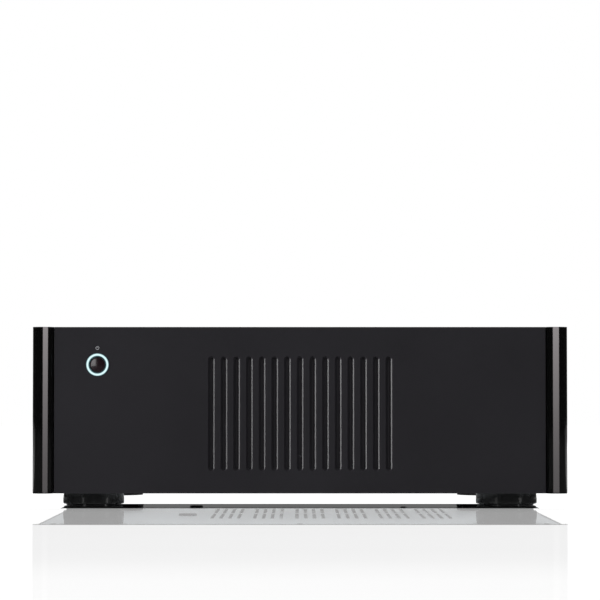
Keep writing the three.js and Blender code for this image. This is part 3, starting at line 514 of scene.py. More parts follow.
def makeFaceplate():
    form = bmesh.new()
    front, back, over = face["front"], face["back"], face["overrun"]
    low, high = (-face["width"] / 2, front, face["low"]), (face["width"] / 2, back, face["high"])
    addBlock(form, low, high, face["easing"], face["easingSteps"])
    plate = scratchObject("platePlain", form)

    form = bmesh.new()
    mouth = stadium(face["mouth"], face["grooveLength"], face["steps"])
    slim = face["mouth"] - face["floor"]
    floor = stadium(face["floor"], face["grooveLength"] - slim, face["steps"])
    depths = [(-over, mouth), (0.0, mouth), (face["bevel"], floor), (face["depth"], floor)]
    addLoft(form, [[(u, front + depth, v) for u, v in outline] for depth, outline in depths])
    cutter = scratchObject("grooveCutter", form)
    first = -face["pitch"] * (face["grooves"] - 1) / 2
    grooved = showObject("groovedPlate", growTree(plate, cutTree, {
        "Cutter": cutter, "Start": inMetres(first, 0, face["grooveMiddle"]), "Material": anodisedMaterial,
        "First Count": face["grooves"], "First Step": inMetres(face["pitch"], 0, 0),
    }))

    form = bmesh.new()
    for x, z, radius, sides in face["holes"]:
        addRod(form, radius, (front - over, back + over), (x, 0, z), "y", sides)
    holes = scratchObject("frontHoles", form)
    mesh = growTree(grooved, cutTree, {"Cutter": holes, "Material": anodisedMaterial})
    placePiece("faceplate_dressed", mesh, anodisedMaterial, face["sharp"], ["faceplate"])
    removeScratch(plate, cutter, grooved, holes)


makeFaceplate()
print("faceplate grooved")


# Pillars: round noses with one narrow flat that carries the highlight

pillar = {
    "middle": 206.85, "half": 8.65, "back": -189.5, "noseBase": -195.1, "noseDepth": 8.4,
    "flatFrom": -1.6, "flatTo": 4.2, "crown": 0.0905,  # across the nose, towards the middle of the front
    "low": 12.5, "high": 146.5, "steps": 72, "flatSteps": 12, "easing": 0.5, "easingSteps": 3, "sharp": 12,
}


def noseAt(u):
    return pillar["noseDepth"] * math.sqrt(max(0.0, 1 - (u / pillar["half"]) ** 2))


def makePillar(side, sign):
    start, stop, steps = pillar["flatFrom"], pillar["flatTo"], pillar["flatSteps"]
    across = [-pillar["half"] * math.cos(math.pi * i / pillar["steps"]) for i in range(pillar["steps"] + 1)]
    across = [u for u in across if not start < u < stop]
    outline = []
    for u in sorted(across + [start + (stop - start) * i / steps for i in range(steps + 1)]):
        depth = noseAt(u)
        if start <= u <= stop:
            share = (u - start) / (stop - start)
            bulge = pillar["crown"] * 4 * share * (1 - share)
            depth = noseAt(start) * (1 - share) + noseAt(stop) * share + bulge
        outline.append((-sign * u + sign * pillar["middle"], pillar["noseBase"] - depth))
    outline += [(sign * (pillar["middle"] - pillar["half"]), pillar["back"])]
    outline += [(sign * (pillar["middle"] + pillar["half"]), pillar["back"])]
    form = bmesh.new()
    addLoft(form, [[(x, y, z) for x, y in outline] for z in (pillar["low"], pillar["high"])])
    ends = [edge for edge in form.edges if abs(edge.verts[0].co.z - edge.verts[1].co.z) < mm / 1000]
    easeEdges(form, ends, pillar["easing"], pillar["easingSteps"])
    name = "pillar_dressed_" + side
    finishPiece(name, form, lacquerMaterial, pillar["sharp"], ["pillar_" + side])


makePillar("left", -1)
makePillar("right", 1)
print("pillars made")


# Power button: lit ring and domed cap

button = {
    "x": -163.3, "z": 116.1, "sides": 96, "steps": 8, "ringSharp": 50, "capSharp": 35,
    "ringIn": 6.7, "ringOut": 9.2, "ringFront": -197.9, "ringBack": -189.5, "round": 0.4, "ease": 0.12,
    "capRadius": 6.4, "capFront": -199.1, "dome": 0.5, "domeRadius": 4.9, "shoulder": 1.5,
    "capBack": -177.2, "stem": 2.0, "stemBack": -170.0,
    "lit": (7.25, 8.8), "dimFrom": 0.25, "dimTo": 0.15,  # the lit band fades from inside each rim to outside
    "glow": "#dffcfd", "glowEdge": "#1d3c41", "strength": 0.9, "body": "#5d7377", "rough": 0.35, "ior": 1.49,
}


def ringMaterial():
    # acrylic, frosted and lit from behind: pale cyan light that is deeper at its rims
    material, tree = emptyMaterial("acrylic_frosted_lit")
    middle, half = sum(button["lit"]) / 2, (button["lit"][1] - button["lit"][0]) / 2
    distance = distanceFrom(tree, button["x"], button["z"])
    away = addNode(tree, "ShaderNodeMath", {"operation": "SUBTRACT"}, [distance, middle * mm])
    away = addNode(tree, "ShaderNodeMath", absolute, [away])
    fade = inMetres(half - button["dimFrom"], half + button["dimTo"])
    rim = addNode(tree, "ShaderNodeMapRange", smooth, [away, *fade])
    inner, outer = linearColour(button["glow"]), linearColour(button["glowEdge"])
    glow = addNode(tree, "ShaderNodeMix", colours, {"Factor": rim, 6: inner, 7: outer})
    shader = addNode(tree, "ShaderNodeBsdfPrincipled", None, {
        "Base Color": linearColour(button["body"]), "Roughness": button["rough"], "IOR": button["ior"],
        "Emission Color": glow.outputs[2], "Emission Strength": button["strength"],
    })
    addNode(tree, "ShaderNodeOutputMaterial", None, [shader])
    return material


def makeButton():
    axis, sides, steps = (button["x"], 0, button["z"]), button["sides"], button["steps"]
    inside, outside = button["ringIn"], button["ringOut"]
    front, back, curve, ease = button["ringFront"], button["ringBack"], button["round"], button["ease"]
    form = bmesh.new()
    profile = [(inside, back), (outside, back), (outside, front + curve), (outside - ease, front + ease)]
    profile += [(outside - curve, front), (inside + curve, front)]
    profile += [(inside + ease, front + ease), (inside, front + curve)]
    addTurned(form, profile, axis, "y", sides, True)
    finishPiece("button_ring_lit", form, ringMaterial(), button["ringSharp"], ["button_ring"])

    form = bmesh.new()
    radius, inner = button["capRadius"], button["domeRadius"]
    profile = [(0, button["capFront"])]
    for i in range(1, steps + 1):
        profile.append((inner * i / steps, button["capFront"] + button["dome"] * (i / steps) ** 2))
    edge = profile[-1][1]
    for i in range(1, steps + 1):
        angle = math.pi / 2 * i / steps
        out = inner + (radius - inner) * math.sin(angle)
        profile.append((out, edge + button["shoulder"] * (1 - math.cos(angle))))
    profile += [(radius, button["capBack"]), (button["stem"], button["capBack"])]
    profile += [(button["stem"], button["stemBack"]), (0, button["stemBack"])]
    addTurned(form, profile, axis, "y", sides)
    finishPiece("power_button_cap", form, capMaterial, button["capSharp"], ["power_button"], "button")


makeButton()
print("button made")


# Power symbol printed over the button: a broken ring and a stroke

symbol = {
    "x": -163.3, "z": 129.6, "radius": 1.25, "line": 0.36, "gap": 32, "steps": 28,
    "stroke": 1.35, "strokeFrom": 0.15, "proud": 0.03, "sunk": 0.05, "sharp": 20,
}


def makeSymbol():
    form = bmesh.new()
    half, gap, steps = symbol["line"] / 2, symbol["gap"], symbol["steps"]
    inner, outer = symbol["radius"] - half, symbol["radius"] + half
    arc = [math.radians(90 + gap + (360 - 2 * gap) * i / steps) for i in range(steps + 1)]
    ring = [(outer * math.cos(a), outer * math.sin(a)) for a in arc]
    ring += [(inner * math.cos(a), inner * math.sin(a)) for a in reversed(arc)]
    low, high = symbol["strokeFrom"], symbol["strokeFrom"] + symbol["stroke"]
    stroke = [(-half, low), (half, low), (half, high), (-half, high)]
    layers = (face["front"] - symbol["proud"], face["front"] + symbol["sunk"])
    for outline in (ring, stroke):
        addLoft(form, [[(symbol["x"] + u, y, symbol["z"] + v) for u, v in outline] for y in layers])
    finishPiece("symbol_printed", form, printMaterial, symbol["sharp"])


makeSymbol()
print("symbol printed")


# Feet and their discs

foot = {
    "x": 169.3, "rows": {"front": -153.6, "rear": 125.8}, "sides": 96, "sharp": 40,
    "body": [(0, 8.8), (5, 8.8), (5, 1.1), (22.3, 1.1), (22.3, 2.8), (23.6, 2.8), (24.35, 2.95), (24.75, 3.3),
             (24.95, 3.9), (24.95, 7.4), (24.85, 8.8), (24.65, 10.2), (24.45, 11.6), (24.35, 12.6), (24.35, 13.4),
             (24.0, 13.8), (0, 13.8)],
    "disc": [(6.5, 0.0), (23.9, 0.0), (24.15, 0.1), (24.25, 0.25), (24.25, 0.7), (24.05, 0.9), (6.5, 0.9)],
}


def makeFeet():
    for row, y in foot["rows"].items():
        for side, x in (("left", -foot["x"]), ("right", foot["x"])):
            name = row + "_" + side
            form = bmesh.new()
            addTurned(form, foot["body"], (x, y, 0), "z", foot["sides"])
            finishPiece("foot_moulded_" + name, form, footMaterial, foot["sharp"], ["foot_" + name])
            form = bmesh.new()
            addTurned(form, foot["disc"], (x, y, 0), "z", foot["sides"], True)
            stands = ["foot_pad_" + name]
            finishPiece("foot_disc_" + name, form, rubberMaterial, foot["sharp"], stands)


makeFeet()
print("feet made")


# Top cover: folded sheet with vents in its top and both sides

cover = {
    "half": 214.5, "front": -187.6, "back": 170.8, "low": 14.0, "high": 145.0, "sheet": 1.2, "fold": 2.6,
    "steps": 8, "sharp": 25,
    "ventWidth": 3.0, "ventLength": 90.25, "ventPitch": 7.6, "ventsInGroup": 4, "groups": 6, "groupPitch": 36.5,
    "firstVentX": -75.65, "rowFront": -53.1, "rowGap": 14.0, "cutDepth": 2.5,
    "sideVents": 11, "sidePitch": 10.0, "sideLength": 50.0, "sideMiddleY": 44.15, "sideMiddleZ": 86.5,
}


def foldedSection(inset):
    half, high, radius = cover["half"] - inset, cover["high"] - inset, cover["fold"] - inset
    points = [(-half, cover["low"])]
    for sign, start in ((-1, math.pi), (1, math.pi / 2)):
        for i in range(cover["steps"] + 1):
            angle = start - math.pi / 2 * i / cover["steps"]
            x, z = sign * (half - radius) + radius * math.cos(angle), high - radius + radius * math.sin(angle)
            points.append((x, z))
    return points + [(half, cover["low"])]


def cutVents(plain, height, material):
    # the same field of slots goes through the cover's top and the base plate
    form = bmesh.new()
    slot, deep = stadium(cover["ventWidth"], cover["ventLength"], cover["steps"]), cover["cutDepth"]
    addLoft(form, [[(u, v, z) for u, v in slot] for z in (-deep, deep)])
    cutter = scratchObject("ventCutter", form)
    start = (cover["firstVentX"], cover["rowFront"] + cover["ventLength"] / 2, height)
    mesh = growTree(plain, cutTree, {
        "Cutter": cutter, "Start": inMetres(*start), "Material": material,
        "First Count": cover["ventsInGroup"], "First Step": inMetres(cover["ventPitch"], 0, 0),
        "Second Count": cover["groups"], "Second Step": inMetres(cover["groupPitch"], 0, 0),
        "Third Count": 2, "Third Step": inMetres(0, cover["ventLength"] + cover["rowGap"], 0),
    })
    removeScratch(plain, cutter)
    return mesh


def makeCover():
    outline = foldedSection(0) + foldedSection(cover["sheet"])[::-1]
    form = bmesh.new()
    addLoft(form, [[(x, y, z) for x, z in outline] for y in (cover["front"], cover["back"])])
    middle = cover["sheet"] / 2
    mesh = cutVents(scratchObject("coverPlain", form), cover["high"] - middle, powderMaterial)
    vented = showObject("coverVented", mesh)
    form = bmesh.new()
    slot, deep = stadium(cover["ventWidth"], cover["sideLength"], cover["steps"]), cover["cutDepth"]
    addLoft(form, [[(x, u, v) for u, v in slot] for x in (-deep, deep)])
    cutter = scratchObject("sideVent", form)
    edge = cover["half"] - middle
    firstY = cover["sideMiddleY"] - cover["sidePitch"] * (cover["sideVents"] - 1) / 2
    mesh = growTree(vented, cutTree, {
        "Cutter": cutter, "Start": inMetres(-edge, firstY, cover["sideMiddleZ"]), "Material": powderMaterial,
        "First Count": cover["sideVents"], "First Step": inMetres(0, cover["sidePitch"], 0),
        "Second Count": 2, "Second Step": inMetres(2 * edge, 0, 0),
    })
    placePiece("cover_folded", mesh, powderMaterial, cover["sharp"], ["top_cover"])
    removeScratch(vented, cutter)


makeCover()
print("cover made")


# Base plate: flat sheet with the same vents, and standoffs for the supply board

base = {
    "half": 213.1, "low": 14.0, "high": 15.5, "easing": 0.25, "easingSteps": 1, "sharp": 25,
    "standoff": 3.5, "standoffTop": 24.3, "standoffX": (-7.65, 106.35), "standoffY": (-176.6, -62.6), "sides": 24,
}


def makeBase():
    form = bmesh.new()
    low, high = (-base["half"], cover["front"], base["low"]), (base["half"], cover["back"], base["high"])
    addBlock(form, low, high, base["easing"], base["easingSteps"])
    middle = (base["low"] + base["high"]) / 2
    mesh = cutVents(scratchObject("basePlain", form), middle, galvanisedMaterial)
    form = bmesh.new()
    form.from_mesh(mesh)
    bpy.data.meshes.remove(mesh)
    for x in base["standoffX"]:
        for y in base["standoffY"]:
            addRod(form, base["standoff"], (base["high"], base["standoffTop"]), (x, y, 0), "z", base["sides"])
    finishPiece("base_plate_vented", form, galvanisedMaterial, base["sharp"], ["base_plate"])


makeBase()
print("base made")


# Rear fittings: copies of the model's own shapes with their edges eased

rear = {
    "weld": 0.001, "flatAngle": 1, "bevelAngle": 40, "bevelSteps": 2, "sharp": 35,
    "easing": {"terminal_plate": 0.5, "post": 0.2, "washer": 0.2, "knob": 0.3, "balanced_socket": 0.3,
               "phono_jack": 0.15, "trigger_sockets": 0.2, "selector_slider": 0.2, "mains_inlet": 0.4,
               "rear_panel": 0.2},
    "jackX": -132.5, "insert": (1.5, 3.1),  # inner and outer radius of the coloured insulator
    "inserts": {"left": ("white", "#d8d8d4", 100), "right": ("red", "#a3161b", 64)},  # word, colour and height
    "pins": [(155.5, 50), (169.5, 50), (162.5, 54)], "pinHalf": (1.4, 2.4), "pinDepth": (155.3, 170),
    "pinColour": "#c9ccd0",
}


def easedCopy(kind, word, end, material, body="root"):
    # the solid named kind + end becomes a piece, with word in the middle of its name
    source, name = nodes[kind + end], kind + "_" + word + end
    form = bmesh.new()
    form.from_mesh(source.data)
    bmesh.ops.transform(form, matrix=source.matrix_world, verts=form.verts[:])
    bmesh.ops.remove_doubles(form, verts=form.verts[:], dist=rear["weld"] * mm)
    flat = math.radians(rear["flatAngle"])
    bmesh.ops.dissolve_limit(form, angle_limit=flat, verts=form.verts[:], edges=form.edges[:])
    scratch = scratchObject(name + "Scratch", form)
    rounding = scratch.modifiers.new("easing", "BEVEL")
    rounding.width = rear["easing"][kind] * mm
    rounding.segments = rear["bevelSteps"]
    rounding.limit_method = "ANGLE"
    rounding.angle_limit = math.radians(rear["bevelAngle"])
    graph = bpy.context.evaluated_depsgraph_get()
    mesh = bpy.data.meshes.new_from_object(scratch.evaluated_get(graph))
    removeScratch(scratch)
    placePiece(name, mesh, material, rear["sharp"], [kind + end], body)


def jackMaterial(side):
    # gold barrel with a coloured insulator round its hole
    word, code, z = rear["inserts"][side]
    material = surfaceMaterial("brass_gold_plated_%s_insert" % word, goldPlate)
    distance = distanceFrom(material.node_tree, rear["jackX"], z)
    swapColour(material, between(material.node_tree, distance, *inMetres(*rear["insert"])), code, 0.0)
    return material


def inletMaterial():
    # moulded body with three bare metal pins in its mouth
    material = surfaceMaterial("abs_moulded_with_pins", mouldedPlastic)
    tree = material.node_tree
    place = addNode(tree, "ShaderNodeTexCoord").outputs["Object"]
    spot = addNode(tree, "ShaderNodeSeparateXYZ", None, [place]).outputs
    deep = between(tree, spot["Y"], *inMetres(*rear["pinDepth"]))
    halfWide, halfHigh = rear["pinHalf"]
    for x, z in rear["pins"]:
        wide = between(tree, spot["X"], *inMetres(x - halfWide, x + halfWide))
        high = between(tree, spot["Z"], *inMetres(z - halfHigh, z + halfHigh))
        both = addNode(tree, "ShaderNodeMath", multiply, [wide, high])
        swapColour(material, addNode(tree, "ShaderNodeMath", multiply, [both, deep]), rear["pinColour"])
    return material


def makeRear():
    easedCopy("terminal_plate", "eased", "", plasticMaterial)
    for side in ("_left", "_right"):
        for pole, material, slotName in (("_plus", redMaterial, "red_knob"), ("_minus", blackMaterial, "black_knob")):
            end = side + pole
            easedCopy("post", "turned", end, goldMaterial)
            easedCopy("washer", "turned", end, goldMaterial, "washer" + end)
            easedCopy("knob", "fluted", end, material, "knob" + end)
        easedCopy("balanced_socket", "eased", side, plasticMaterial)
    for side in ("left", "right"):
        easedCopy("phono_jack", "turned", "_" + side, jackMaterial(side))
    easedCopy("trigger_sockets", "eased", "", plasticMaterial)
    easedCopy("selector_slider", "eased", "", nylonMaterial, "slider")
    easedCopy("mains_inlet", "eased", "", inletMaterial())
    easedCopy("rear_panel", "eased", "", powderMaterial)


makeRear()
print("rear fittings made")


# Screws, set on points by a node tree

screw = {
    "head": 2.9, "rise": 1.5, "flatRise": 0.8, "socket": 1.25, "sides": 20,
    "spread": 0.5, "seed": 7, "sharp": 35,
    "dome": [(1, 0), (1, 0.35), (0.93, 0.66), (0.78, 0.88)],  # shares of the head's radius and rise
    "mouth": [(1.45, 1), (1, 0.96), (1, 0.3), (0, 0.3)],  # shares of the socket's radius and the rise
    "rearFace": 172.5, "rear": [(x, z) for z in (20, 139) for x in (-209, -70, 70, 209)],
    "flangeFace": 174.7,
    "flanges": [(-179.5, 111.5), (-161.5, 88.5), (-179.5, 75.5), (-161.5, 52.5), (142.5, 52), (182.5, 52)],
    "side": [(-170, 21), (-9, 21), (154, 21), (-170, 138), (154, 138)],
    "under": [(-200, -180), (0, -180), (200, -180), (-200, 163), (97, 163), (200, 163)],
    "bolts": [(-98.45, 2.2, 8.0, 1.9), (-97, 163, 6.0, 2.6)],  # place, radius and drop under the base plate
    "boltEdge": (0.6, 0.5), "boltSides": 40,  # run and rise of the bolt's eased edge
}


def screwHead(rise):
    # domed head with a round socket, pointing along +Z
    form = bmesh.new()
    profile = [(0, 0)] + [(screw["head"] * out, rise * up) for out, up in screw["dome"]]
    profile += [(screw["socket"] * out, rise * up) for out, up in screw["mouth"]]
    addTurned(form, profile, (0, 0, 0), "z", screw["sides"])
    return scratchObject("screwHead", form)


def setScrews(name, part, points, turn):
    mesh = bpy.data.meshes.new(name + "Points")
    mesh.from_pydata([inMetres(*point) for point in points], [], [])
    carrier = showObject(name + "Points", mesh)
    made = growTree(carrier, pointTree, {
        "Part": part, "Turn": turn, "Turn Spread": screw["spread"], "Seed": screw["seed"], "Material": screwMaterial,
    })
    placePiece(name, made, screwMaterial, screw["sharp"])
    removeScratch(carrier)


def makeScrews():
    part, flatPart = screwHead(screw["rise"]), screwHead(screw["flatRise"])
    edge, quarter = cover["half"], math.pi / 2
    setScrews("screws_rear", part, [(x, screw["rearFace"], z) for x, z in screw["rear"]], (-quarter, 0, 0))
    setScrews("screws_inlets", part, [(x, screw["flangeFace"], z) for x, z in screw["flanges"]], (-quarter, 0, 0))
    setScrews("screws_right", flatPart, [(edge, y, z) for y, z in screw["side"]], (0, quarter, 0))
    setScrews("screws_left", flatPart, [(-edge, y, z) for y, z in screw["side"]], (0, -quarter, 0))
    setScrews("screws_under", part, [(x, y, base["low"]) for x, y in screw["under"]], (math.pi, 0, 0))
    form = bmesh.new()
    for x, y, head, drop in screw["bolts"]:
        low, (easeIn, easeUp) = base["low"] - drop, screw["boltEdge"]
        profile = [(0, low), (head - easeIn, low), (head, low + easeUp), (head, base["low"]), (0, base["low"])]
        addTurned(form, profile, (x, y, 0), "z", screw["boltSides"])
    finishPiece("bolt_heads_under", form, screwMaterial, screw["sharp"])
    removeScratch(part, flatPart)


makeScrews()
print("screws set")


# The model's own nodes that stay get their finishes

carried = {
    "front_subpanel": powderMaterial, "indicator_lamp": lensMaterial, "button_guide": plasticMaterial,
    "power_switch": plasticMaterial, "transformer_cushion": rubberMaterial, "transformer_coil": windingMaterial,
    "transformer_dish": zincMaterial, "transformer_stud": zincMaterial, "bridge_rectifier": zincMaterial,
    "supply_board": boardMaterial, "input_board": boardMaterial, "selector_housing": plasticMaterial,
}
for index in (1, 2, 3, 4):
    carried["capacitor_%d" % index] = sleeveMaterial
for side in ("left", "right"):
    carried["heatsink_" + side] = extrudedMaterial
    carried["amp_board_" + side] = boardMaterial
    carried["output_transistor_%s_1" % side] = plasticMaterial
    carried["output_transistor_%s_2" % side] = plasticMaterial
for name, material in carried.items():
    for place in nodes[name].material_slots:
        place.material = material
print("carried nodes finished:", len(carried))


# Floor, lamps and camera

studio = {
    "floorSize": 12.0, "floorPale": 0.8, "floorTone": 0.25, "frontDark": 0.10, "fill": 0.28, "dim": 0.03,
    # share of the floor that mirrors, by its place along Y, in front of the object and just under it
    "mirror": [(-1.25, 0.0), (-1.178, 0.095), (-1.047, 0.107), (-0.97, 0.135), (-0.884, 0.173), (-0.786, 0.19),
               (-0.470, 0.196), (-0.467, 0.68), (-0.186, 0.68), (-0.184, 1.0), (-0.091, 1.0), (-0.090, 0.0)],
    "mirrorHalf": 0.23, "mirrorRough": 0.02, "grazing": (0.88, 0.925),
    # painted shade on the floor: the mirror is tinted dark and narrowed between shadeFrom and shadeTo
    "shade": 0.135, "shadeFrom": -0.185, "shadeTo": -0.090, "shadeHalf": 0.194,
    "caseHalf": 0.216, "caseFront": -0.21, "beside": (-1.0, 0.1), "underTo": 0.2,
    "floorLift": 0.80, "underLift": 0.99, "liftFades": (1.4, 3.0),  # light added for the camera alone
    # in reflections, the part of the sky behind the object, its half width, and the dome over it
    "backFrom": (0.90, 0.98), "backHalf": (0.125, 0.15), "domeRise": (0.10, 0.4), "domeTop": 0.7,
    "domeFrom": (-0.3, 0.1),
}
camera = {"y": -2.378, "z": 0.090, "pitch": 2.056, "lens": 162.27, "sensor": 36.0}


def mirrorShare(tree, depth):
    # the ramp that reads the table of shares
    first, last = studio["mirror"][0][0], studio["mirror"][-1][0]
    near = addNode(tree, "ShaderNodeMapRange", None, [depth, first, last])
    share = addNode(tree, "ShaderNodeValToRGB", None, [near])
    stops = share.color_ramp.elements
    while len(stops) < len(studio["mirror"]):
        stops.new(0.5)
    for stop, (y, value) in zip(stops, studio["mirror"]):
        stop.position = (y - first) / (last - first)
        stop.color = (value, value, value, 1)
    return share


def makeFloor():
    edge = studio["floorSize"] / 2
    mesh = bpy.data.meshes.new("floor")
    mesh.from_pydata([(-edge, -edge, 0), (edge, -edge, 0), (edge, edge, 0), (-edge, edge, 0)], [], [(0, 1, 2, 3)])
    floor = showObject("floor", mesh)
    material, tree = emptyMaterial("floor_white_gloss")
    rays = addNode(tree, "ShaderNodeLightPath").outputs
    place = addNode(tree, "ShaderNodeTexCoord").outputs["Object"]
    spot = addNode(tree, "ShaderNodeSeparateXYZ", None, [place]).outputs
    depth, side = spot["Y"], addNode(tree, "ShaderNodeMath", absolute, [spot["X"]])
    facing = addNode(tree, "ShaderNodeLayerWeight").outputs["Facing"]
    low = addNode(tree, "ShaderNodeMapRange", smooth, [facing, *studio["grazing"]])

    # the mirror, narrower just under the front of the case and tinted dark there: a painted shade
    shade = between(tree, depth, studio["shadeFrom"], studio["shadeTo"])
    half = addNode(tree, "ShaderNodeMix", numbers, {"Factor": shade, 2: studio["mirrorHalf"], 3: studio["shadeHalf"]})
    inside = addNode(tree, "ShaderNodeMath", lessThan, [side, half])
    kept = addNode(tree, "ShaderNodeMath", multiply, [low, inside])
    kept = addNode(tree, "ShaderNodeMath", multiply, [kept, mirrorShare(tree, depth)])
    tint = addNode(tree, "ShaderNodeMix", numbers, {"Factor": shade, 2: 1.0, 3: studio["shade"]})
    gloss = addNode(tree, "ShaderNodeBsdfGlossy", None, {"Color": tint, "Roughness": studio["mirrorRough"]})

    # the pale floor, which glossy pieces see dark ahead of the case and beside it
    outside = addNode(tree, "ShaderNodeMath", moreThan, [side, studio["caseHalf"]])
    outside = addNode(tree, "ShaderNodeMath", multiply, [outside, between(tree, depth, *studio["beside"])])
    ahead = addNode(tree, "ShaderNodeMath", lessThan, [depth, studio["caseFront"]])
    ahead = addNode(tree, "ShaderNodeMath", largest, [ahead, outside])
    flagged = addNode(tree, "ShaderNodeMath", multiply, [ahead, rays["Is Glossy Ray"]])
    tone = addNode(tree, "ShaderNodeMix", numbers, {"Factor": flagged, 2: studio["floorPale"], 3: studio["frontDark"]})
    seen = {"Factor": rays["Is Camera Ray"], 2: tone, 3: studio["floorTone"]}
    white = addNode(tree, "ShaderNodeBsdfDiffuse", None, {"Color": addNode(tree, "ShaderNodeMix", numbers, seen)})

    # light that only the camera sees, so that the floor is as white as the background
    under = between(tree, depth, studio["shadeFrom"], studio["underTo"])
    under = addNode(tree, "ShaderNodeMath", multiply, [under, low])
    level = addNode(tree, "ShaderNodeMix", numbers, {"Factor": under, 2: studio["floorLift"], 3: studio["underLift"]})
    reach = addNode(tree, "ShaderNodeVectorMath", {"operation": "LENGTH"}, [place]).outputs["Value"]
    far = addNode(tree, "ShaderNodeMapRange", None, [reach, *studio["liftFades"]])
    level = addNode(tree, "ShaderNodeMix", numbers, {"Factor": far, 2: level, 3: 1.0})
    lift = addNode(tree, "ShaderNodeMath", multiply, [rays["Is Camera Ray"], level])
    glow = addNode(tree, "ShaderNodeEmission", None, {"Strength": lift})
    pale = addNode(tree, "ShaderNodeAddShader", None, [white, glow])
    mixed = addNode(tree, "ShaderNodeMixShader", None, [kept, pale, gloss])
    addNode(tree, "ShaderNodeOutputMaterial", None, [mixed])
    mesh.materials.append(material)


def makeWorld():
    world = bpy.data.worlds.new("studio")
    bpy.context.scene.world = world
    world.use_nodes = True
    tree = world.node_tree
    tree.nodes.clear()
    rays = addNode(tree, "ShaderNodeLightPath").outputs
    direction = addNode(tree, "ShaderNodeTexCoord").outputs["Generated"]
    aim = addNode(tree, "ShaderNodeSeparateXYZ", None, [direction]).outputs
    behind = addNode(tree, "ShaderNodeMapRange", smooth, [aim["Y"], *studio["backFrom"]])
    aside = addNode(tree, "ShaderNodeMath", absolute, [aim["X"]])
    narrow = addNode(tree, "ShaderNodeMapRange", smooth, [aside, *studio["backHalf"], 1.0, 0.0])
    behind = addNode(tree, "ShaderNodeMath", multiply, [behind, narrow])
    above = addNode(tree, "ShaderNodeMapRange", smooth, [aim["Z"], *studio["domeRise"], 0.0, studio["domeTop"]])
    rearHalf = addNode(tree, "ShaderNodeMapRange", smooth, [aim["Y"], *studio["domeFrom"]])
    dome = addNode(tree, "ShaderNodeMath", multiply, [above, rearHalf])
    shown = addNode(tree, "ShaderNodeMath", largest, [behind, dome])
    shown = addNode(tree, "ShaderNodeMath", largest, [shown, studio["dim"]])
    sharpRay = addNode(tree, "ShaderNodeMath", largest, [rays["Is Glossy Ray"], rays["Is Transmission Ray"]])
    seen = addNode(tree, "ShaderNodeMix", numbers, {"Factor": sharpRay, 2: studio["fill"], 3: shown})
    strength = addNode(tree, "ShaderNodeMix", numbers, {"Factor": rays["Is Camera Ray"], 2: seen, 3: 1.0})
    sky = addNode(tree, "ShaderNodeBackground", None, {"Color": (1, 1, 1, 1), "Strength": strength})
    addNode(tree, "ShaderNodeOutputWorld", None, [sky])


# Place, aim, width and height in metres, and watts. A lamp is kept to some pieces or kept off some, by how their
# names start, and may shine through others. A fade is the light at the lower end, at the upper end, and its bend.
strip = {"fade": (0.32, 1.0, 1.5), "tint": (1.0, 0.93, 0.95)}
lamps = {
    "keyLeft": {"at": (-2.6, -3.2, 2.7), "aim": (0, -0.1, 0.08), "size": (1.6, 1.6), "watts": 80,
                "off": ["pillar", "power_button"]},
    "fillRight": {"at": (2.4, -2.8, 2.1), "aim": (0, -0.1, 0.08), "size": (1.4, 1.4), "watts": 44,
                  "off": ["pillar", "power_button"]},
    "overhead": {"at": (0, 0.1, 2.2), "aim": (0, 0.05, 0.1), "size": (2.4, 1.6), "watts": 30,
                 "off": ["pillar", "faceplate", "power_button"]},
    "rear": {"at": (0.6, 2.6, 1.4), "aim": (0, 0, 0.08), "size": (1.6, 1.0), "watts": 30,
             "off": ["pillar", "faceplate"]},
    "grooveLight": {"at": (-2.3, -0.68, 0.25), "aim": (0.1, -0.197, 0.08), "size": (0.25, 0.5), "watts": 80,
                    "only": ["faceplate"], "through": ["pillar"], "bounces": 0},
    "footLeft": {"at": (-1.333, -1.780, 0.0), "aim": (-0.169, -0.154, 0.01), "size": (0.09, 0.5), "watts": 0.7,
                 "only": ["foot"], "through": ["floor"]},
    "footRight": {"at": (1.491, -1.269, 0.0), "aim": (-0.169, -0.154, 0.01), "size": (0.07, 0.5), "watts": 0.85,
                  "only": ["foot"], "through": ["floor"]},
    "buttonLight": {"at": (-0.65, -1.60, 0.335), "aim": (-0.163, -0.199, 0.116), "size": (0.45, 0.8), "watts": 3.0,
                    "only": ["power_button"]},
    "stripLeft": {"at": (-0.1317, -0.4938, 0.080), "aim": (-0.2056, -0.203, 0.080), "size": (0.052, 0.155),
                  "watts": 0.132, "only": ["pillar_dressed_left"], **strip},
    "stripRight": {"at": (0.1439, -0.4966, 0.080), "aim": (0.2056, -0.203, 0.080), "size": (0.064, 0.155),
                   "watts": 0.163, "only": ["pillar_dressed_right"], **strip},
    "bounceUnder": {"at": (0, -0.35, -0.6), "aim": (0, 0.0, 0.014), "size": (0.9, 0.6), "watts": 8,
                    "only": ["base_plate", "bolt_heads", "screws_under"], "through": ["floor"]},
}


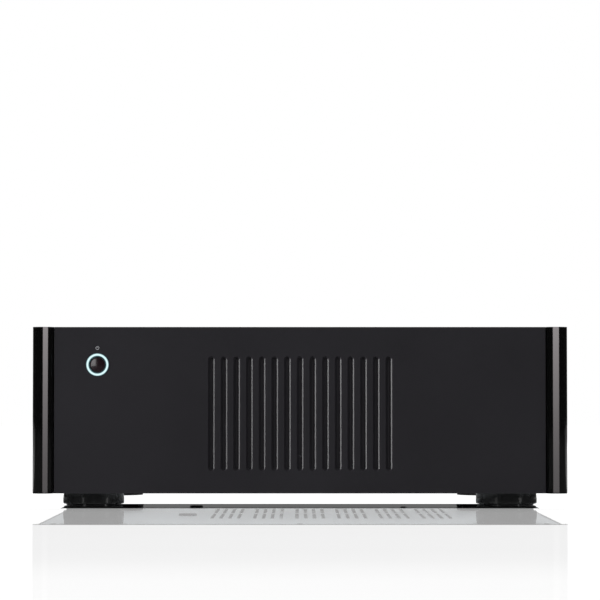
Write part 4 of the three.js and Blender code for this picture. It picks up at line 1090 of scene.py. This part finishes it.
def fadeLamp(light, low, high, power):
    # the lamp is weaker towards its lower end
    light.use_nodes = True
    tree = light.node_tree
    tree.nodes.clear()
    place = addNode(tree, "ShaderNodeNewGeometry").outputs["Parametric"]
    rise = addNode(tree, "ShaderNodeSeparateXYZ", None, [place]).outputs["Y"]
    bent = addNode(tree, "ShaderNodeMath", {"operation": "POWER"}, [rise, power])
    level = addNode(tree, "ShaderNodeMapRange", None, {"Value": bent, "To Min": low, "To Max": high})
    glow = addNode(tree, "ShaderNodeEmission", None, {"Strength": level})
    addNode(tree, "ShaderNodeOutputLight", None, [glow])


def pieceSet(name, things, words, leaveOut):
    # the pieces whose names start with one of the words, as light linking takes them
    chosen = bpy.data.collections.new(name)
    for thing in things:
        if thing.name.startswith(tuple(words)):
            chosen.objects.link(thing)
    if leaveOut:
        for member in chosen.collection_objects:
            member.light_linking.link_state = "EXCLUDE"
    return chosen


def makeLamps():
    meshes = [thing for thing in bpy.data.objects if thing.type == "MESH"]
    for name, lamp in lamps.items():
        light = bpy.data.lights.new(name, "AREA")
        light.shape = "RECTANGLE"
        light.size, light.size_y = lamp["size"]
        light.energy = lamp["watts"]
        light.color = lamp.get("tint", (1.0, 1.0, 1.0))
        if "bounces" in lamp:
            light.cycles.max_bounces = lamp["bounces"]  # seen directly only, not again in a glossy neighbour
            light.cycles.use_multiple_importance_sampling = False
        if "fade" in lamp:
            fadeLamp(light, *lamp["fade"])
        stand = showObject(name, light)
        stand.location = lamp["at"]
        stand.rotation_euler = (Vector(lamp["aim"]) - Vector(lamp["at"])).to_track_quat("-Z", "Y").to_euler()
        stand.visible_camera = False
        words = lamp.get("only") or lamp["off"]
        stand.light_linking.receiver_collection = pieceSet(name + "Pieces", meshes, words, "off" in lamp)
        if "through" in lamp:
            stand.light_linking.blocker_collection = pieceSet(name + "Passes", meshes, lamp["through"], True)


def makeCamera():
    lens = bpy.data.cameras.new("camera")
    lens.lens, lens.sensor_width = camera["lens"], camera["sensor"]
    viewer = showObject("camera", lens)
    viewer.location = (0, camera["y"], camera["z"])
    viewer.rotation_euler = (math.radians(90 + camera["pitch"]), 0, 0)
    bpy.context.scene.camera = viewer


makeFloor()
makeWorld()
makeLamps()
makeCamera()
bpy.context.scene.view_settings.view_transform = "Standard"
print("studio set")
